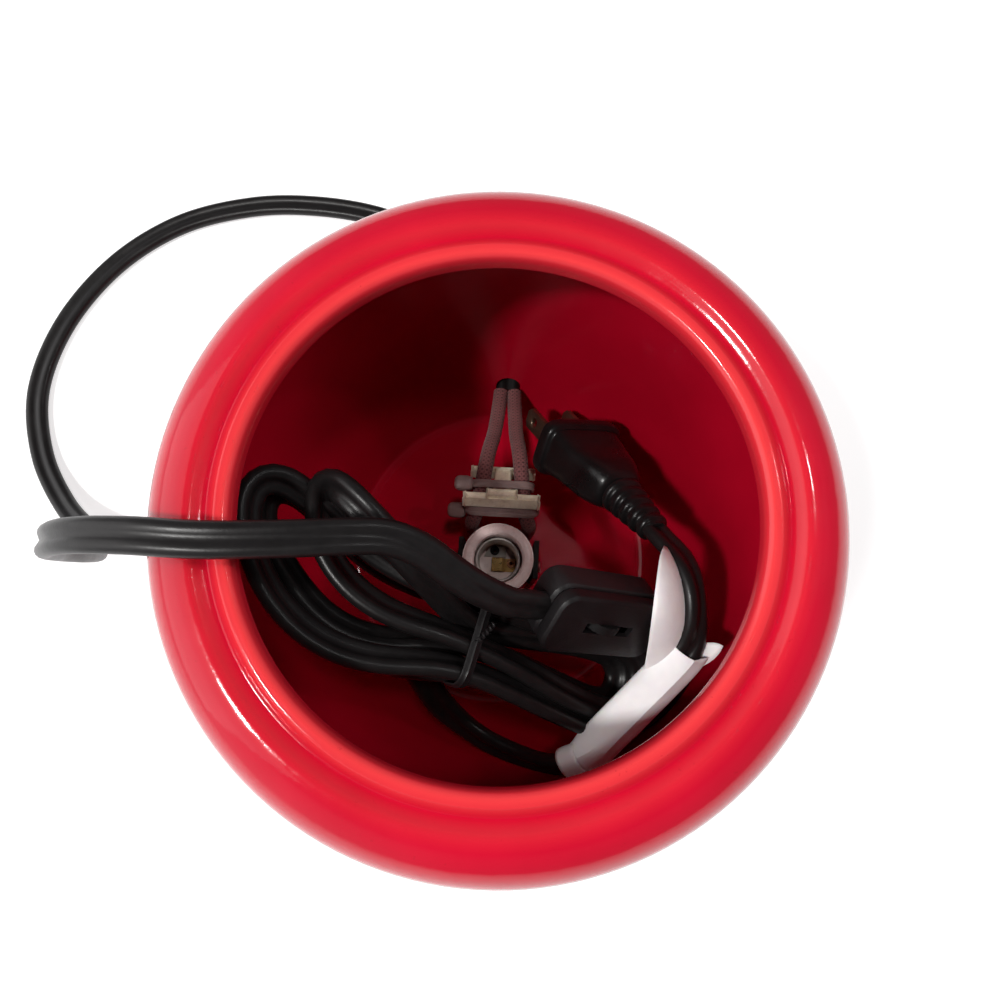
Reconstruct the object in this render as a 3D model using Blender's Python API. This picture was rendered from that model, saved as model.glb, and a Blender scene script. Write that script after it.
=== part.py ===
# Electric wax warmer: glazed pot, lamp holder on a steel saddle, sleeved leads,
# and a flat twin cord with an inline thumbwheel switch, a tied hank, a label and a plug.
# Units are metres, +Z is up, the pot stands on z = 0 and its cord hole faces +Y.
import math

import bmesh
import bpy
import numpy as np
from mathutils import Matrix, Vector

# Fits
GAP = 0.0003  # between pieces that touch
RUNNING_GAP = 0.00008  # round a turning pin

# Pot
RIM_HEIGHT = 0.112
LIP_RADIUS = 0.052
LIP_WIDTH = 0.0044
LIP_DEPTH = 0.0060
SEAT_HALF = 0.0007  # half the flat ring the dish sits on
GROOVE_RADIUS = 0.0571
GROOVE_DEPTH = 0.0017
RIDGE_RADIUS = 0.0603
SHOULDER_RADIUS = 0.073
SHOULDER_DROP = 0.016
WALL = 0.0058
BASE_RADIUS = 0.0525
FLOOR_THICKNESS = 0.0065
BASE_RECESS = 0.0035
FOOT_RING_WIDTH = 0.009
BELLY_PULL = 0.032  # height over which the wall leaves the shoulder upright
WAIST_RADIUS = 0.061
WAIST_HEIGHT = 0.026
POT_SEGMENTS = 48

# Rubber feet
PAD_HEIGHT = 0.002
PAD_RADIUS = 0.0042
PAD_COUNT = 4

# Cord hole
HOLE_RADIUS = 0.0039
HOLE_HEIGHT = 0.026

# Lamp holder, its saddle and its screw
LAMP_Y = -0.004
SHEET = 0.0014
HOLDER_RADIUS = 0.010
HOLDER_TOP = 0.046
SKIRT_DEPTH = 0.0072
SLAB_THICKNESS = 0.006
SKIRT_WALL = 0.0024
MOUTH_ROUND = 0.0016
EAR_TOP = 0.038
EAR_WIDTH = 0.011
EAR_SHIFT = 0.001
SCREW_RADIUS = 0.0015
SCREW_HEAD_RADIUS = 0.003
SCREW_HEAD_HEIGHT = 0.0016
SCREW_REACH = 0.0040  # above the saddle's plate
WASHER_RADIUS = 0.005
WASHER_HEIGHT = 0.001
NUT_WIDTH = 0.0055
NUT_HEIGHT = 0.0024
EAR_SCREW_RADIUS = 0.0012
EAR_SCREW_DEPTH = 0.0018
EAR_SCREW_HEAD = 0.0021
EAR_SCREW_HEAD_HEIGHT = 0.0010

# Screw shell and contacts
SHELL_RADIUS = 0.0060
SHELL_WAVE = 0.00035
SHELL_SHEET = 0.0004
SHELL_PITCH = 0.00254
SHELL_TURNS = 5
CONTACT_SHEET = 0.0005
CONTACT_WIDTH = 0.0040
CONTACT_RISE = 0.0016
RIVET_RADIUS = 0.0009
RIVET_BORE = 0.00055
RIVET_HEAD = 0.0014
RIVET_HEAD_HEIGHT = 0.0005
CONTACT_RIVET_AT = (0.0039, 0.0002)
SHELL_RIVET_AT = (-0.0012, 0.0038)

# Leads in their sleeves
SLEEVE_RADIUS = 0.0020
SLEEVE_BORE = 0.00145
WIRE_RADIUS = 0.00105
LEAD_STEP = 0.0022
SLOT_WIDTH = 0.0047
SLOT_HEIGHT = 0.0060
SLEEVE_ROUTE = (
    (0.00215, 0.0506, 0.0254), (0.0025, 0.0450, 0.0268), (0.0033, 0.0360, 0.0308),
    (0.0046, 0.0285, 0.0356), (0.0053, 0.0230, 0.0377), (0.0059, 0.0180, 0.0374),
    (0.0066, 0.0130, 0.0367), (0.0074, 0.0098, 0.0352), (0.0084, 0.0078, 0.0315),
    (0.0087, 0.0074, 0.0265), (0.0087, 0.0073, 0.0218), (0.0082, 0.0066, 0.0184),
    (0.0072, 0.0052, 0.0172), (0.0060, 0.0036, 0.0171),
)
RIGHT_WIRE_END = ((0.0050, 0.0016, 0.0174), (0.0042, -0.0016, 0.0180), (0.0039, -0.0036, 0.0182))
LEFT_WIRE_END = ((-0.0046, 0.0020, 0.0174), (-0.0029, 0.0006, 0.0180), (-0.0014, -0.0001, 0.0182))

# Strain relief plate and cable ties
PLATE_THICKNESS = 0.0018
PLATE_LENGTH = 0.0205
PLATE_BAR = 0.0032
PLATE_SPACING = 0.0124
PLATE_WEB = 0.0046
PLATE_AT = (0.0, 0.0180, 0.0371)
PLATE_TILT = math.radians(38)
TIE_THICKNESS = 0.0010
TIE_WIDTH = 0.0022
TIE_HEAD = 0.0036
UPPER_TIE_AT = (0.0180, 0.0374)
UPPER_TIE_HALF = (0.0086, 0.0028)
UPPER_TIE_LEAN = 0.0
LOWER_TIE_AT = (0.0102, 0.0352)
LOWER_TIE_HALF = (0.0104, 0.0031)
LOWER_TIE_LEAN = math.radians(48)

# Flat twin cord, drawn as a round tube of the same section
CORD_RADIUS = 0.0024
CORD_STEP = 0.012
TAIL_STEP = 0.007
OUTER_ROUTE = (
    (0.0, 0.0512, 0.0248), (0.0, 0.0570, 0.0248), (0.0, 0.0650, 0.0247),
    (-0.0015, 0.0760, 0.0215), (-0.0060, 0.0880, 0.0140), (-0.0145, 0.1010, 0.0066),
    (-0.0280, 0.1140, 0.0032), (-0.0500, 0.1237, 0.0027), (-0.0740, 0.1252, 0.0027),
    (-0.0975, 0.1218, 0.0027), (-0.1220, 0.1130, 0.0027), (-0.1430, 0.0970, 0.0027),
    (-0.1580, 0.0750, 0.0027), (-0.1640, 0.0500, 0.0027), (-0.1590, 0.0270, 0.0032),
    (-0.1460, 0.0090, 0.0062),     (-0.1290, -0.0020, 0.0165), (-0.1160, -0.0065, 0.0350),
    (-0.1085, -0.0085, 0.0570), (-0.1030, -0.0095, 0.0790), (-0.0945, -0.0100, 0.0985),
    (-0.0825, -0.0096, 0.1112), (-0.0690, -0.0094, 0.1163), (-0.0546, -0.0095, 0.1172),
    (-0.0400, -0.0083, 0.1152), (-0.0285, -0.0069, 0.1124), (-0.0212, -0.0064, 0.1095),
    (-0.0148, -0.0082, 0.1058), (-0.0095, -0.0114, 0.1018), (-0.0040, -0.0145, 0.0978),
)
TAIL_ROUTE = (
    (-0.0095, -0.0465, 0.0500), (-0.0010, -0.0525, 0.0480),
    (0.0095, -0.0556, 0.0515), (0.0187, -0.0547, 0.0580), (0.0272, -0.0510, 0.0634),
    (0.0350, -0.0457, 0.0672), (0.0420, -0.0385, 0.0694), (0.0475, -0.0305, 0.0713),
    (0.0505, -0.0225, 0.0730), (0.0503, -0.0150, 0.0755),
)

# Hank: loops in two layers, spiralling in and out again, drawn in at the waist
HANK_WAIST = (-0.0056, -0.0232, 0.0770)
HANK_AXIS = (0.0994, -0.0284, -0.0430)
HANK_LOOPS = 3
LOOP_POINTS = 24
LEFT_REACH = 0.056
RIGHT_REACH = 0.052
HANK_SAG = 0.008  # of the right lobe
WAIST_HALF = 0.0110
LEFT_HALF = 0.0185
RIGHT_HALF = 0.0142
LOOP_STEP = 0.0060
LEFT_STEP = 0.0090
LAYER_HALF = 0.0032
TIE_SLACK = 0.0009
UNWIND_RADIUS = 0.0090
HANK_LEAD_IN = (
    (0.0462, -0.0192, 0.0655), (0.0492, -0.0245, 0.0605), (0.0485, -0.0315, 0.0570),
    (0.0444, -0.0384, 0.0558), (0.0374, -0.0437, 0.0582),
)
HANK_LEAD_OUT = ((-0.0185, -0.0355, 0.0580), (-0.0150, -0.0402, 0.0545))
HANK_TIE_WIDTH = 0.0040
HANK_TIE_THICKNESS = 0.0012

# Inline switch, in its own frame: x along the cord, z through the face with the slot
SWITCH_AT = (0.0236, -0.0180, 0.0805)
SWITCH_AXIS = (0.850, -0.040, -0.525)
SWITCH_ACROSS = (0.373, 0.749, 0.547)
SWITCH_LENGTH = 0.031
SWITCH_WIDTH = 0.016
SWITCH_HEIGHT = 0.012
SWITCH_CORNER = 0.004
SWITCH_WALL = 0.0015
SWITCH_END = 0.0055  # solid ends that grip the cord
WHEEL_RADIUS = 0.0050
WHEEL_WIDTH = 0.0022
WHEEL_RIDGES = 24
WHEEL_RIDGE_DEPTH = 0.0003
WHEEL_PROUD = 0.0009
AXLE_RADIUS = 0.0011
SLOT_LENGTH = 0.0130
SLOT_OPENING = 0.0028
SWITCH_SCREW_RADIUS = 0.0010
SWITCH_SCREW_HEAD = 0.0018
SWITCH_SCREW_PLACE = 0.0050
LEAF_SHEET = 0.0005
LEAF_WIDTH = 0.0030

# Plug, in its own frame: x from the front face towards the cord, y across the blades
PLUG_AT = (0.0202, 0.0315, 0.0390)
PLUG_AXIS = (0.438, -0.638, 0.634)
PLUG_ACROSS = (0.874, 0.134, -0.468)
FLANGE_HALF = (0.0128, 0.0086)
FLANGE_DEPTH = 0.0046
GRIP_LENGTH = 0.0215
RELIEF_LENGTH = 0.0180
RELIEF_RIBS = 5
RELIEF_RIB_HEIGHT = 0.0005
BLADE_SPACING = 0.0127
BLADE_LENGTH = 0.0175
BLADE_ROOT = 0.0050
BLADE_THICKNESS = 0.0015
BLADE_WIDTH = 0.0063
BLADE_HOLE = 0.0015
INSERT_HALF = (0.0090, 0.0052)
INSERT_DEPTH = 0.0056

# Label, wrapped askew round the cord's tail
PAPER = 0.0004
LABEL_START = 0.027  # along the tail
LABEL_LENGTH = 0.062
LABEL_FLAG = 0.0078
LABEL_LEAN = (0.17, 0.40)  # of the flag at its start and at its end
LABEL_SLACK = 0.0006
LABEL_STATIONS = 12


def clear_scene():
    for item in list(bpy.data.objects):
        bpy.data.objects.remove(item, do_unlink=True)


def finish_material(name, colour, roughness, metallic=0.0):
    finish = bpy.data.materials.new(name)
    finish.use_nodes = True
    shader = finish.node_tree.nodes["Principled BSDF"]
    shader.inputs["Base Color"].default_value = (*colour, 1.0)
    shader.inputs["Roughness"].default_value = roughness
    shader.inputs["Metallic"].default_value = metallic
    return finish


def add_object(name, data, finish):
    item = bpy.data.objects.new(name, data)
    item.data.materials.append(finish)
    bpy.context.collection.objects.link(item)
    return item


def mesh_object(name, points, faces, finish):
    mesh = bpy.data.meshes.new(name)
    mesh.from_pydata([tuple(p) for p in points], [], faces)
    shape = bmesh.new()
    shape.from_mesh(mesh)
    bmesh.ops.recalc_face_normals(shape, faces=shape.faces)
    shape.to_mesh(mesh)
    shape.free()
    mesh.shade_smooth()
    mesh.set_sharp_from_angle(angle=math.radians(35))
    return add_object(name, mesh, finish)


def turned(name, profile, segments, finish):
    # A profile of (radius, height) from the axis round to the axis, or a closed loop off it.
    open_ends = profile[0][0] == 0.0
    points = []
    rings = []
    for radius, height in profile:
        if radius == 0.0:
            rings.append([len(points)] * segments)
            points.append((0.0, 0.0, height))
            continue
        rings.append(list(range(len(points), len(points) + segments)))
        for step in range(segments):
            angle = 2 * math.pi * step / segments
            points.append((radius * math.cos(angle), radius * math.sin(angle), height))
    pairs = list(zip(rings, rings[1:]))
    if not open_ends:
        pairs.append((rings[-1], rings[0]))
    faces = []
    for lower, upper in pairs:
        for step in range(segments):
            after = (step + 1) % segments
            corners = [lower[step], lower[after], upper[after], upper[step]]
            face = list(dict.fromkeys(corners))
            faces.append(face)
    return mesh_object(name, points, faces, finish)


def prism(name, outline, low, high, finish):
    count = len(outline)
    points = [(x, y, low) for x, y in outline] + [(x, y, high) for x, y in outline]
    faces = [list(range(count)), list(range(count, 2 * count))]
    for step in range(count):
        after = (step + 1) % count
        faces.append([step, after, count + after, count + step])
    return mesh_object(name, points, faces, finish)


def box(name, low, high, finish):
    outline = [(low[0], low[1]), (high[0], low[1]), (high[0], high[1]), (low[0], high[1])]
    return prism(name, outline, low[2], high[2], finish)


def pin(name, radius, low, high, finish, sides=16):
    profile = [(0.0, low), (radius, low), (radius, high), (0.0, high)]
    return turned(name, profile, sides, finish)


def ring_prism(name, outer, inner, low, high, finish):
    count = len(outer)
    points = []
    for loop, height in ((outer, low), (outer, high), (inner, high), (inner, low)):
        points += [(x, y, height) for x, y in loop]
    faces = []
    for band in range(4):
        first = band * count
        second = (band + 1) % 4 * count
        for step in range(count):
            after = (step + 1) % count
            faces.append([first + step, first + after, second + after, second + step])
    return mesh_object(name, points, faces, finish)


def lofted(name, sections, finish):
    count = len(sections[0])
    points = [p for section in sections for p in section]
    faces = [list(range(count)), list(range(len(points) - count, len(points)))]
    for row in range(len(sections) - 1):
        for step in range(count):
            after = (step + 1) % count
            lower = row * count
            upper = lower + count
            faces.append([lower + step, lower + after, upper + after, upper + step])
    return mesh_object(name, points, faces, finish)


def rounded_outline(half_x, half_y, corner, steps=4):
    outline = []
    for quarter, (side_x, side_y) in enumerate(((1, 1), (-1, 1), (-1, -1), (1, -1))):
        for step in range(steps + 1):
            angle = math.pi / 2 * (quarter + step / steps)
            x = side_x * (half_x - corner) + corner * math.cos(angle)
            y = side_y * (half_y - corner) + corner * math.sin(angle)
            outline.append((x, y))
    return outline


def place(item, origin, x_axis, y_axis):
    x_axis = Vector(x_axis).normalized()
    y_axis = Vector(y_axis)
    z_axis = x_axis.cross(y_axis).normalized()
    y_axis = z_axis.cross(x_axis)
    turn = Matrix((x_axis, y_axis, z_axis)).transposed()
    item.matrix_world = Matrix.Translation(Vector(origin)) @ turn.to_4x4()
    return item


def as_cutter(item):
    item.hide_render = True
    item.display_type = "WIRE"
    return item


def cut(item, cutter):
    as_cutter(cutter)
    change = item.modifiers.new("Cut " + cutter.name, "BOOLEAN")
    change.operation = "DIFFERENCE"
    change.solver = "EXACT"
    change.object = cutter


def smooth_route(route, step):
    # Points at even steps along a smooth curve through the route's points.
    knots = np.array(route, float)
    padded = np.vstack([2 * knots[0] - knots[1], knots, 2 * knots[-1] - knots[-2]])
    fine = []
    for index in range(1, len(padded) - 2):
        before, start, end, after = padded[index - 1:index + 3]
        for part in np.linspace(0, 1, 16, endpoint=False):
            fine.append(0.5 * (2 * start + (end - before) * part
                               + (2 * before - 5 * start + 4 * end - after) * part ** 2
                               + (3 * start - before - 3 * end + after) * part ** 3))
    fine.append(padded[-2])
    fine = np.array(fine)
    along = np.concatenate([[0], np.cumsum(np.linalg.norm(np.diff(fine, axis=0), axis=1))])
    count = max(2, math.ceil(along[-1] / step) + 1)
    marks = np.linspace(0, along[-1], count)
    return np.stack([np.interp(marks, along, fine[:, axis]) for axis in range(3)], axis=1)


def tube(name, points, radius, resolution, finish):
    curve = bpy.data.curves.new(name, "CURVE")
    curve.dimensions = "3D"
    curve.bevel_depth = radius
    curve.bevel_resolution = resolution
    curve.use_fill_caps = True
    spline = curve.splines.new("POLY")
    spline.points.add(len(points) - 1)
    for point, place_on_route in zip(spline.points, points):
        point.co = (*place_on_route, 1.0)
    return add_object(name, curve, finish)


def frames_along(points):
    # Tangent, side and up at each point, carried along without twist.
    points = np.array(points)
    tangents = np.gradient(points, axis=0)
    tangents /= np.linalg.norm(tangents, axis=1)[:, None]
    side = np.cross(tangents[0], (0.0, 0.0, 1.0))
    frames = []
    for tangent in tangents:
        side = side - tangent * np.dot(side, tangent)
        side = side / np.linalg.norm(side)
        frames.append((tangent, side, np.cross(side, tangent)))
    return frames


def sleeve(name, points, radius, bore, finish, sides=8):
    rows = []
    for reach, ordered in ((radius, 1), (bore, -1)):
        rings = []
        for point, (tangent, side, up) in zip(points, frames_along(points)):
            angles = np.linspace(0, 2 * math.pi, sides, endpoint=False)
            rings.append([point + reach * (math.cos(a) * side + math.sin(a) * up) for a in angles])
        rows += rings[::ordered]
    vertices = [p for ring in rows for p in ring]
    faces = []
    for row in range(len(rows)):
        lower = row * sides
        upper = (row + 1) % len(rows) * sides
        for step in range(sides):
            after = (step + 1) % sides
            faces.append([lower + step, lower + after, upper + after, upper + step])
    return mesh_object(name, vertices, faces, finish)


def bezier(start, first, second, end, steps):
    points = []
    for step in range(steps + 1):
        t = step / steps
        s = 1 - t
        points.append(tuple(s ** 3 * a + 3 * s * s * t * b + 3 * s * t * t * c + t ** 3 * d
                            for a, b, c, d in zip(start, first, second, end)))
    return points


def arc(centre, half_x, half_y, start, end, steps):
    points = []
    for step in range(steps + 1):
        angle = math.radians(start + (end - start) * step / steps)
        points.append((centre[0] + half_x * math.cos(angle), centre[1] + half_y * math.sin(angle)))
    return points


# Heights of the pot's floor and of what stands on it
BASE_HEIGHT = PAD_HEIGHT
FLOOR_TOP = BASE_HEIGHT + BASE_RECESS + FLOOR_THICKNESS
PLATE_TOP = FLOOR_TOP + GAP + SHEET
HOLDER_BASE = PLATE_TOP + GAP
SLAB_BASE = HOLDER_BASE + SKIRT_DEPTH
SLAB_TOP = SLAB_BASE + SLAB_THICKNESS
EAR_SCREW_HEIGHT = SLAB_BASE + SLAB_THICKNESS / 2
SHELL_OUTER = SHELL_RADIUS + SHELL_WAVE + SHELL_SHEET / 2
HOLDER_BORE = SHELL_OUTER + GAP


def make_pot(glaze):
    widest = RIM_HEIGHT - SHOULDER_DROP
    crest = LIP_RADIUS + LIP_WIDTH / 2
    lip_round = LIP_WIDTH / 2
    base_round = 0.004
    ring_inner = BASE_RADIUS - FOOT_RING_WIDTH
    recess_top = BASE_HEIGHT + BASE_RECESS
    under_lip = RIM_HEIGHT - LIP_DEPTH
    inner_widest = SHOULDER_RADIUS - WALL
    floor_edge = BASE_RADIUS - WALL
    profile = [(0.0, recess_top), (ring_inner - 0.001, recess_top), (ring_inner, BASE_HEIGHT)]
    profile += arc((BASE_RADIUS - base_round, BASE_HEIGHT + base_round), base_round, base_round,
                   -90, -15, 3)
    profile += bezier((BASE_RADIUS, BASE_HEIGHT + base_round), (WAIST_RADIUS, WAIST_HEIGHT),
                      (SHOULDER_RADIUS, widest - BELLY_PULL), (SHOULDER_RADIUS, widest), 6)[1:]
    profile += arc((RIDGE_RADIUS, widest), SHOULDER_RADIUS - RIDGE_RADIUS, SHOULDER_DROP,
                   18, 90, 5)
    profile += [((GROOVE_RADIUS + RIDGE_RADIUS) / 2, RIM_HEIGHT - GROOVE_DEPTH * 0.6),
                (GROOVE_RADIUS, RIM_HEIGHT - GROOVE_DEPTH)]
    profile += [(crest + lip_round * 0.75, RIM_HEIGHT - lip_round * 0.34),
                (crest + SEAT_HALF, RIM_HEIGHT), (crest - SEAT_HALF, RIM_HEIGHT),
                (crest - lip_round * 0.85, RIM_HEIGHT - lip_round * 0.47)]
    profile += [(LIP_RADIUS, RIM_HEIGHT - lip_round), (LIP_RADIUS, under_lip + 0.001),
                (LIP_RADIUS + 0.001, under_lip)]
    profile += arc((RIDGE_RADIUS, widest), inner_widest - RIDGE_RADIUS, SHOULDER_DROP - WALL - 0.001,
                   80, 0, 4)
    profile += bezier((inner_widest, widest), (inner_widest, widest - BELLY_PULL + 0.004),
                      (WAIST_RADIUS - WALL, WAIST_HEIGHT + 0.004), (floor_edge, FLOOR_TOP + 0.001),
                      6)[1:]
    profile += [(floor_edge - 0.0035, FLOOR_TOP), (0.0, FLOOR_TOP)]
    pot = turned("ceramic_body", profile, POT_SEGMENTS, glaze)
    hole = pin("cord_hole_cutter", HOLE_RADIUS, 0.0, SHOULDER_RADIUS, glaze, 20)
    place(hole, (0.0, 0.0, HOLE_HEIGHT), (1, 0, 0), (0, 0, -1))
    hole.location.y = floor_edge / 2
    cut(pot, hole)
    bolt_hole = pin("bolt_hole_cutter", SCREW_RADIUS + GAP, 0.0, FLOOR_TOP + 0.01, glaze)
    bolt_hole.location.y = LAMP_Y
    cut(pot, bolt_hole)
    return pot


def make_feet(rubber):
    ring_middle = BASE_RADIUS - FOOT_RING_WIDTH / 2 - 0.001
    edge = 0.0005
    for index in range(PAD_COUNT):
        angle = 2 * math.pi * (index + 0.5) / PAD_COUNT
        profile = [(0.0, 0.0), (PAD_RADIUS - edge, 0.0), (PAD_RADIUS, edge),
                   (PAD_RADIUS, BASE_HEIGHT - GAP), (0.0, BASE_HEIGHT - GAP)]
        pad = turned("foot_pad_%d" % (index + 1), profile, 20, rubber)
        pad.location = (ring_middle * math.cos(angle), ring_middle * math.sin(angle), 0.0)


def make_saddle(steel, screw_metal, washer_stuff):
    inner = HOLDER_RADIUS + GAP
    outer = inner + SHEET
    low = FLOOR_TOP + GAP
    outline = [(-outer, low), (outer, low), (outer, EAR_TOP), (inner, EAR_TOP),
               (inner, PLATE_TOP), (-inner, PLATE_TOP), (-inner, EAR_TOP), (-outer, EAR_TOP)]
    saddle = prism("lamp_bracket", outline, -EAR_WIDTH / 2, EAR_WIDTH / 2, steel)
    place(saddle, (0.0, LAMP_Y + EAR_SHIFT, 0.0), (1, 0, 0), (0, 0, 1))
    bolt_hole = pin("saddle_hole_cutter", SCREW_RADIUS + GAP, 0.0, PLATE_TOP + 0.002, steel)
    bolt_hole.location.y = LAMP_Y
    cut(saddle, bolt_hole)
    ear_hole = pin("ear_hole_cutter", EAR_SCREW_RADIUS + GAP, -2 * outer, 2 * outer, steel)
    place(ear_hole, (0.0, LAMP_Y, EAR_SCREW_HEIGHT), (0, 0, -1), (0, 1, 0))
    cut(saddle, ear_hole)

    washer_top = BASE_HEIGHT + BASE_RECESS - GAP
    washer_base = washer_top - WASHER_HEIGHT
    washer_bore = SCREW_RADIUS + GAP
    ring = [(washer_bore, washer_base), (WASHER_RADIUS, washer_base),
            (WASHER_RADIUS, washer_top), (washer_bore, washer_top)]
    washer = turned("bracket_washer", ring, 24, washer_stuff)
    washer.location.y = LAMP_Y
    head_top = washer_base - GAP
    shank_top = PLATE_TOP + SCREW_REACH
    shape = [(0.0, head_top - SCREW_HEAD_HEIGHT), (SCREW_HEAD_RADIUS, head_top - SCREW_HEAD_HEIGHT),
             (SCREW_HEAD_RADIUS, head_top), (SCREW_RADIUS, head_top),
             (SCREW_RADIUS, shank_top), (0.0, shank_top)]
    screw = turned("bracket_screw", shape, 20, screw_metal)
    screw.location.y = LAMP_Y
    nut_bore = SCREW_RADIUS + GAP
    corner = NUT_WIDTH / 2 / math.cos(math.pi / 6)
    hexagon = []
    bore = []
    for step in range(24):
        angle = 2 * math.pi * step / 24
        side = (angle + math.pi / 6) % (math.pi / 3) - math.pi / 6
        reach = corner * math.cos(math.pi / 6) / math.cos(side)
        hexagon.append((reach * math.cos(angle), reach * math.sin(angle)))
        bore.append((nut_bore * math.cos(angle), nut_bore * math.sin(angle)))
    nut = ring_prism("bracket_nut", hexagon, bore, PLATE_TOP + GAP, PLATE_TOP + GAP + NUT_HEIGHT,
                     screw_metal)
    nut.location.y = LAMP_Y

    for side, word in ((-1, "left"), (1, "right")):
        seat = outer + GAP
        tip = HOLDER_RADIUS - EAR_SCREW_DEPTH
        shape = [(0.0, tip), (EAR_SCREW_RADIUS, tip), (EAR_SCREW_RADIUS, seat),
                 (EAR_SCREW_HEAD, seat), (EAR_SCREW_HEAD * 0.8, seat + EAR_SCREW_HEAD_HEIGHT),
                 (0.0, seat + EAR_SCREW_HEAD_HEIGHT)]
        fixing = turned("holder_screw_" + word, shape, 16, screw_metal)
        place(fixing, (0.0, LAMP_Y, EAR_SCREW_HEIGHT), (0, 0, -side), (0, 1, 0))


def make_holder(porcelain):
    recess = HOLDER_RADIUS - SKIRT_WALL
    edge = 0.0006
    profile = [(0.0, SLAB_BASE), (recess, SLAB_BASE), (recess, HOLDER_BASE),
               (HOLDER_RADIUS, HOLDER_BASE), (HOLDER_RADIUS, HOLDER_TOP - edge)]
    profile += arc((HOLDER_RADIUS - MOUTH_ROUND, HOLDER_TOP - MOUTH_ROUND), MOUTH_ROUND, MOUTH_ROUND,
                   25, 90, 3)
    profile += [(HOLDER_BORE + edge, HOLDER_TOP), (HOLDER_BORE, HOLDER_TOP - edge),
                (HOLDER_BORE, SLAB_TOP), (0.0, SLAB_TOP)]
    holder = turned("lamp_holder", profile, 36, porcelain)
    holder.location.y = LAMP_Y
    for side in (-1, 1):
        mouth = Vector((side * SLEEVE_ROUTE[-1][0], SLEEVE_ROUTE[-1][1] - LAMP_Y, 0.0)).normalized()
        slot = box("lead_slot_cutter", (HOLDER_RADIUS / 2, -SLOT_WIDTH / 2, HOLDER_BASE - 0.001),
                   (HOLDER_RADIUS * 1.3, SLOT_WIDTH / 2, HOLDER_BASE + SLOT_HEIGHT), porcelain)
        place(slot, (0.0, LAMP_Y, 0.0), mouth, (-mouth.y, mouth.x, 0.0))
        cut(holder, slot)
        dimple = pin("dimple_cutter", EAR_SCREW_RADIUS + GAP,
                     HOLDER_RADIUS - EAR_SCREW_DEPTH - GAP, HOLDER_RADIUS * 1.3, porcelain)
        place(dimple, (0.0, LAMP_Y, EAR_SCREW_HEIGHT), (0, 0, -side), (0, 1, 0))
        cut(holder, dimple)
    for x, y in (CONTACT_RIVET_AT, SHELL_RIVET_AT):
        hole = pin("rivet_hole_cutter", RIVET_RADIUS + GAP, SLAB_BASE - 0.001, SLAB_TOP + 0.001,
                   porcelain)
        hole.location = (x, LAMP_Y + y, 0.0)
        cut(holder, hole)
    return holder


def make_shell(metal):
    segments = 18
    rows = 4 * SHELL_TURNS
    low = SLAB_TOP + GAP + CONTACT_SHEET + GAP + RIVET_HEAD_HEIGHT + GAP
    height = SHELL_PITCH * SHELL_TURNS
    points = []
    for offset, order in ((SHELL_SHEET / 2, 1), (-SHELL_SHEET / 2, -1)):
        for row in list(range(rows + 1))[::order]:
            rise = height * row / rows
            ease = min(1.0, 2 * row / rows * SHELL_TURNS, 2 * (rows - row) / rows * SHELL_TURNS)
            for step in range(segments):
                angle = 2 * math.pi * step / segments
                wave = SHELL_WAVE * ease * math.cos(2 * math.pi * rise / SHELL_PITCH - angle)
                radius = SHELL_RADIUS + offset + wave
                points.append((radius * math.cos(angle), radius * math.sin(angle), low + rise))
    rings = len(points) // segments
    faces = []
    for row in range(rings):
        lower = row * segments
        upper = (row + 1) % rings * segments
        for step in range(segments):
            after = (step + 1) % segments
            faces.append([lower + step, lower + after, upper + after, upper + step])
    shell = mesh_object("screw_shell", points, faces, metal)
    shell.location.y = LAMP_Y


def make_contacts(silver, brass, copper):
    low = SLAB_TOP + GAP
    x, y = SHELL_RIVET_AT
    plate_half = 0.0019
    outline = [(x - 0.0032, y - plate_half), (x + 0.0036, y - plate_half),
               (x + 0.0030, y + plate_half * 0.7), (x - 0.0016, y + plate_half * 0.7)]
    terminal = prism("shell_terminal", outline, low, low + CONTACT_SHEET, silver)
    terminal.location.y = LAMP_Y
    rx, ry = CONTACT_RIVET_AT
    tail = rx + RIVET_HEAD
    rise = low + CONTACT_RISE
    t = CONTACT_SHEET
    bend = [(tail, low), (tail, low + t), (0.0022, low + t), (0.0012, rise + t),
            (-0.0019, rise + t), (-0.0019, rise), (0.0008, rise), (0.0018, low)]
    leaf = prism("centre_contact", bend, -CONTACT_WIDTH / 2, CONTACT_WIDTH / 2, brass)
    place(leaf, (0.0, LAMP_Y + ry - 0.0006, 0.0), (1, 0, 0), (0, 0, 1))
    for name, (x, y), owner, metal in (("shell_rivet", SHELL_RIVET_AT, terminal, copper),
                                       ("contact_rivet", CONTACT_RIVET_AT, leaf, copper)):
        hole = pin(name + "_cutter", RIVET_RADIUS + GAP, low - 0.001, low + 0.001, metal)
        hole.location = (x, LAMP_Y + y, 0.0)
        cut(owner, hole)
        seat = low + CONTACT_SHEET + GAP
        foot = SLAB_BASE - 0.0004
        shape = [(RIVET_BORE, foot), (RIVET_RADIUS, foot), (RIVET_RADIUS, seat), (RIVET_HEAD, seat),
                 (RIVET_HEAD, seat + RIVET_HEAD_HEIGHT * 0.6),
                 (RIVET_BORE * 1.4, seat + RIVET_HEAD_HEIGHT), (RIVET_BORE, seat + RIVET_HEAD_HEIGHT * 0.5)]
        eyelet = turned(name, shape, 16, metal)
        eyelet.location = (x, LAMP_Y + y, 0.0)


def make_leads(glass, copper):
    for side, word, ending in ((-1, "left", LEFT_WIRE_END), (1, "right", RIGHT_WIRE_END)):
        covered = smooth_route([(side * x, y, z) for x, y, z in SLEEVE_ROUTE], LEAD_STEP)
        bared = smooth_route([covered[-1], *ending], LEAD_STEP)
        sleeve("wire_sleeve_" + word, covered, SLEEVE_RADIUS, SLEEVE_BORE, glass)
        tube("lead_wire_" + word, np.vstack([covered, bared[1:]]), WIRE_RADIUS, 2, copper)


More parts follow.
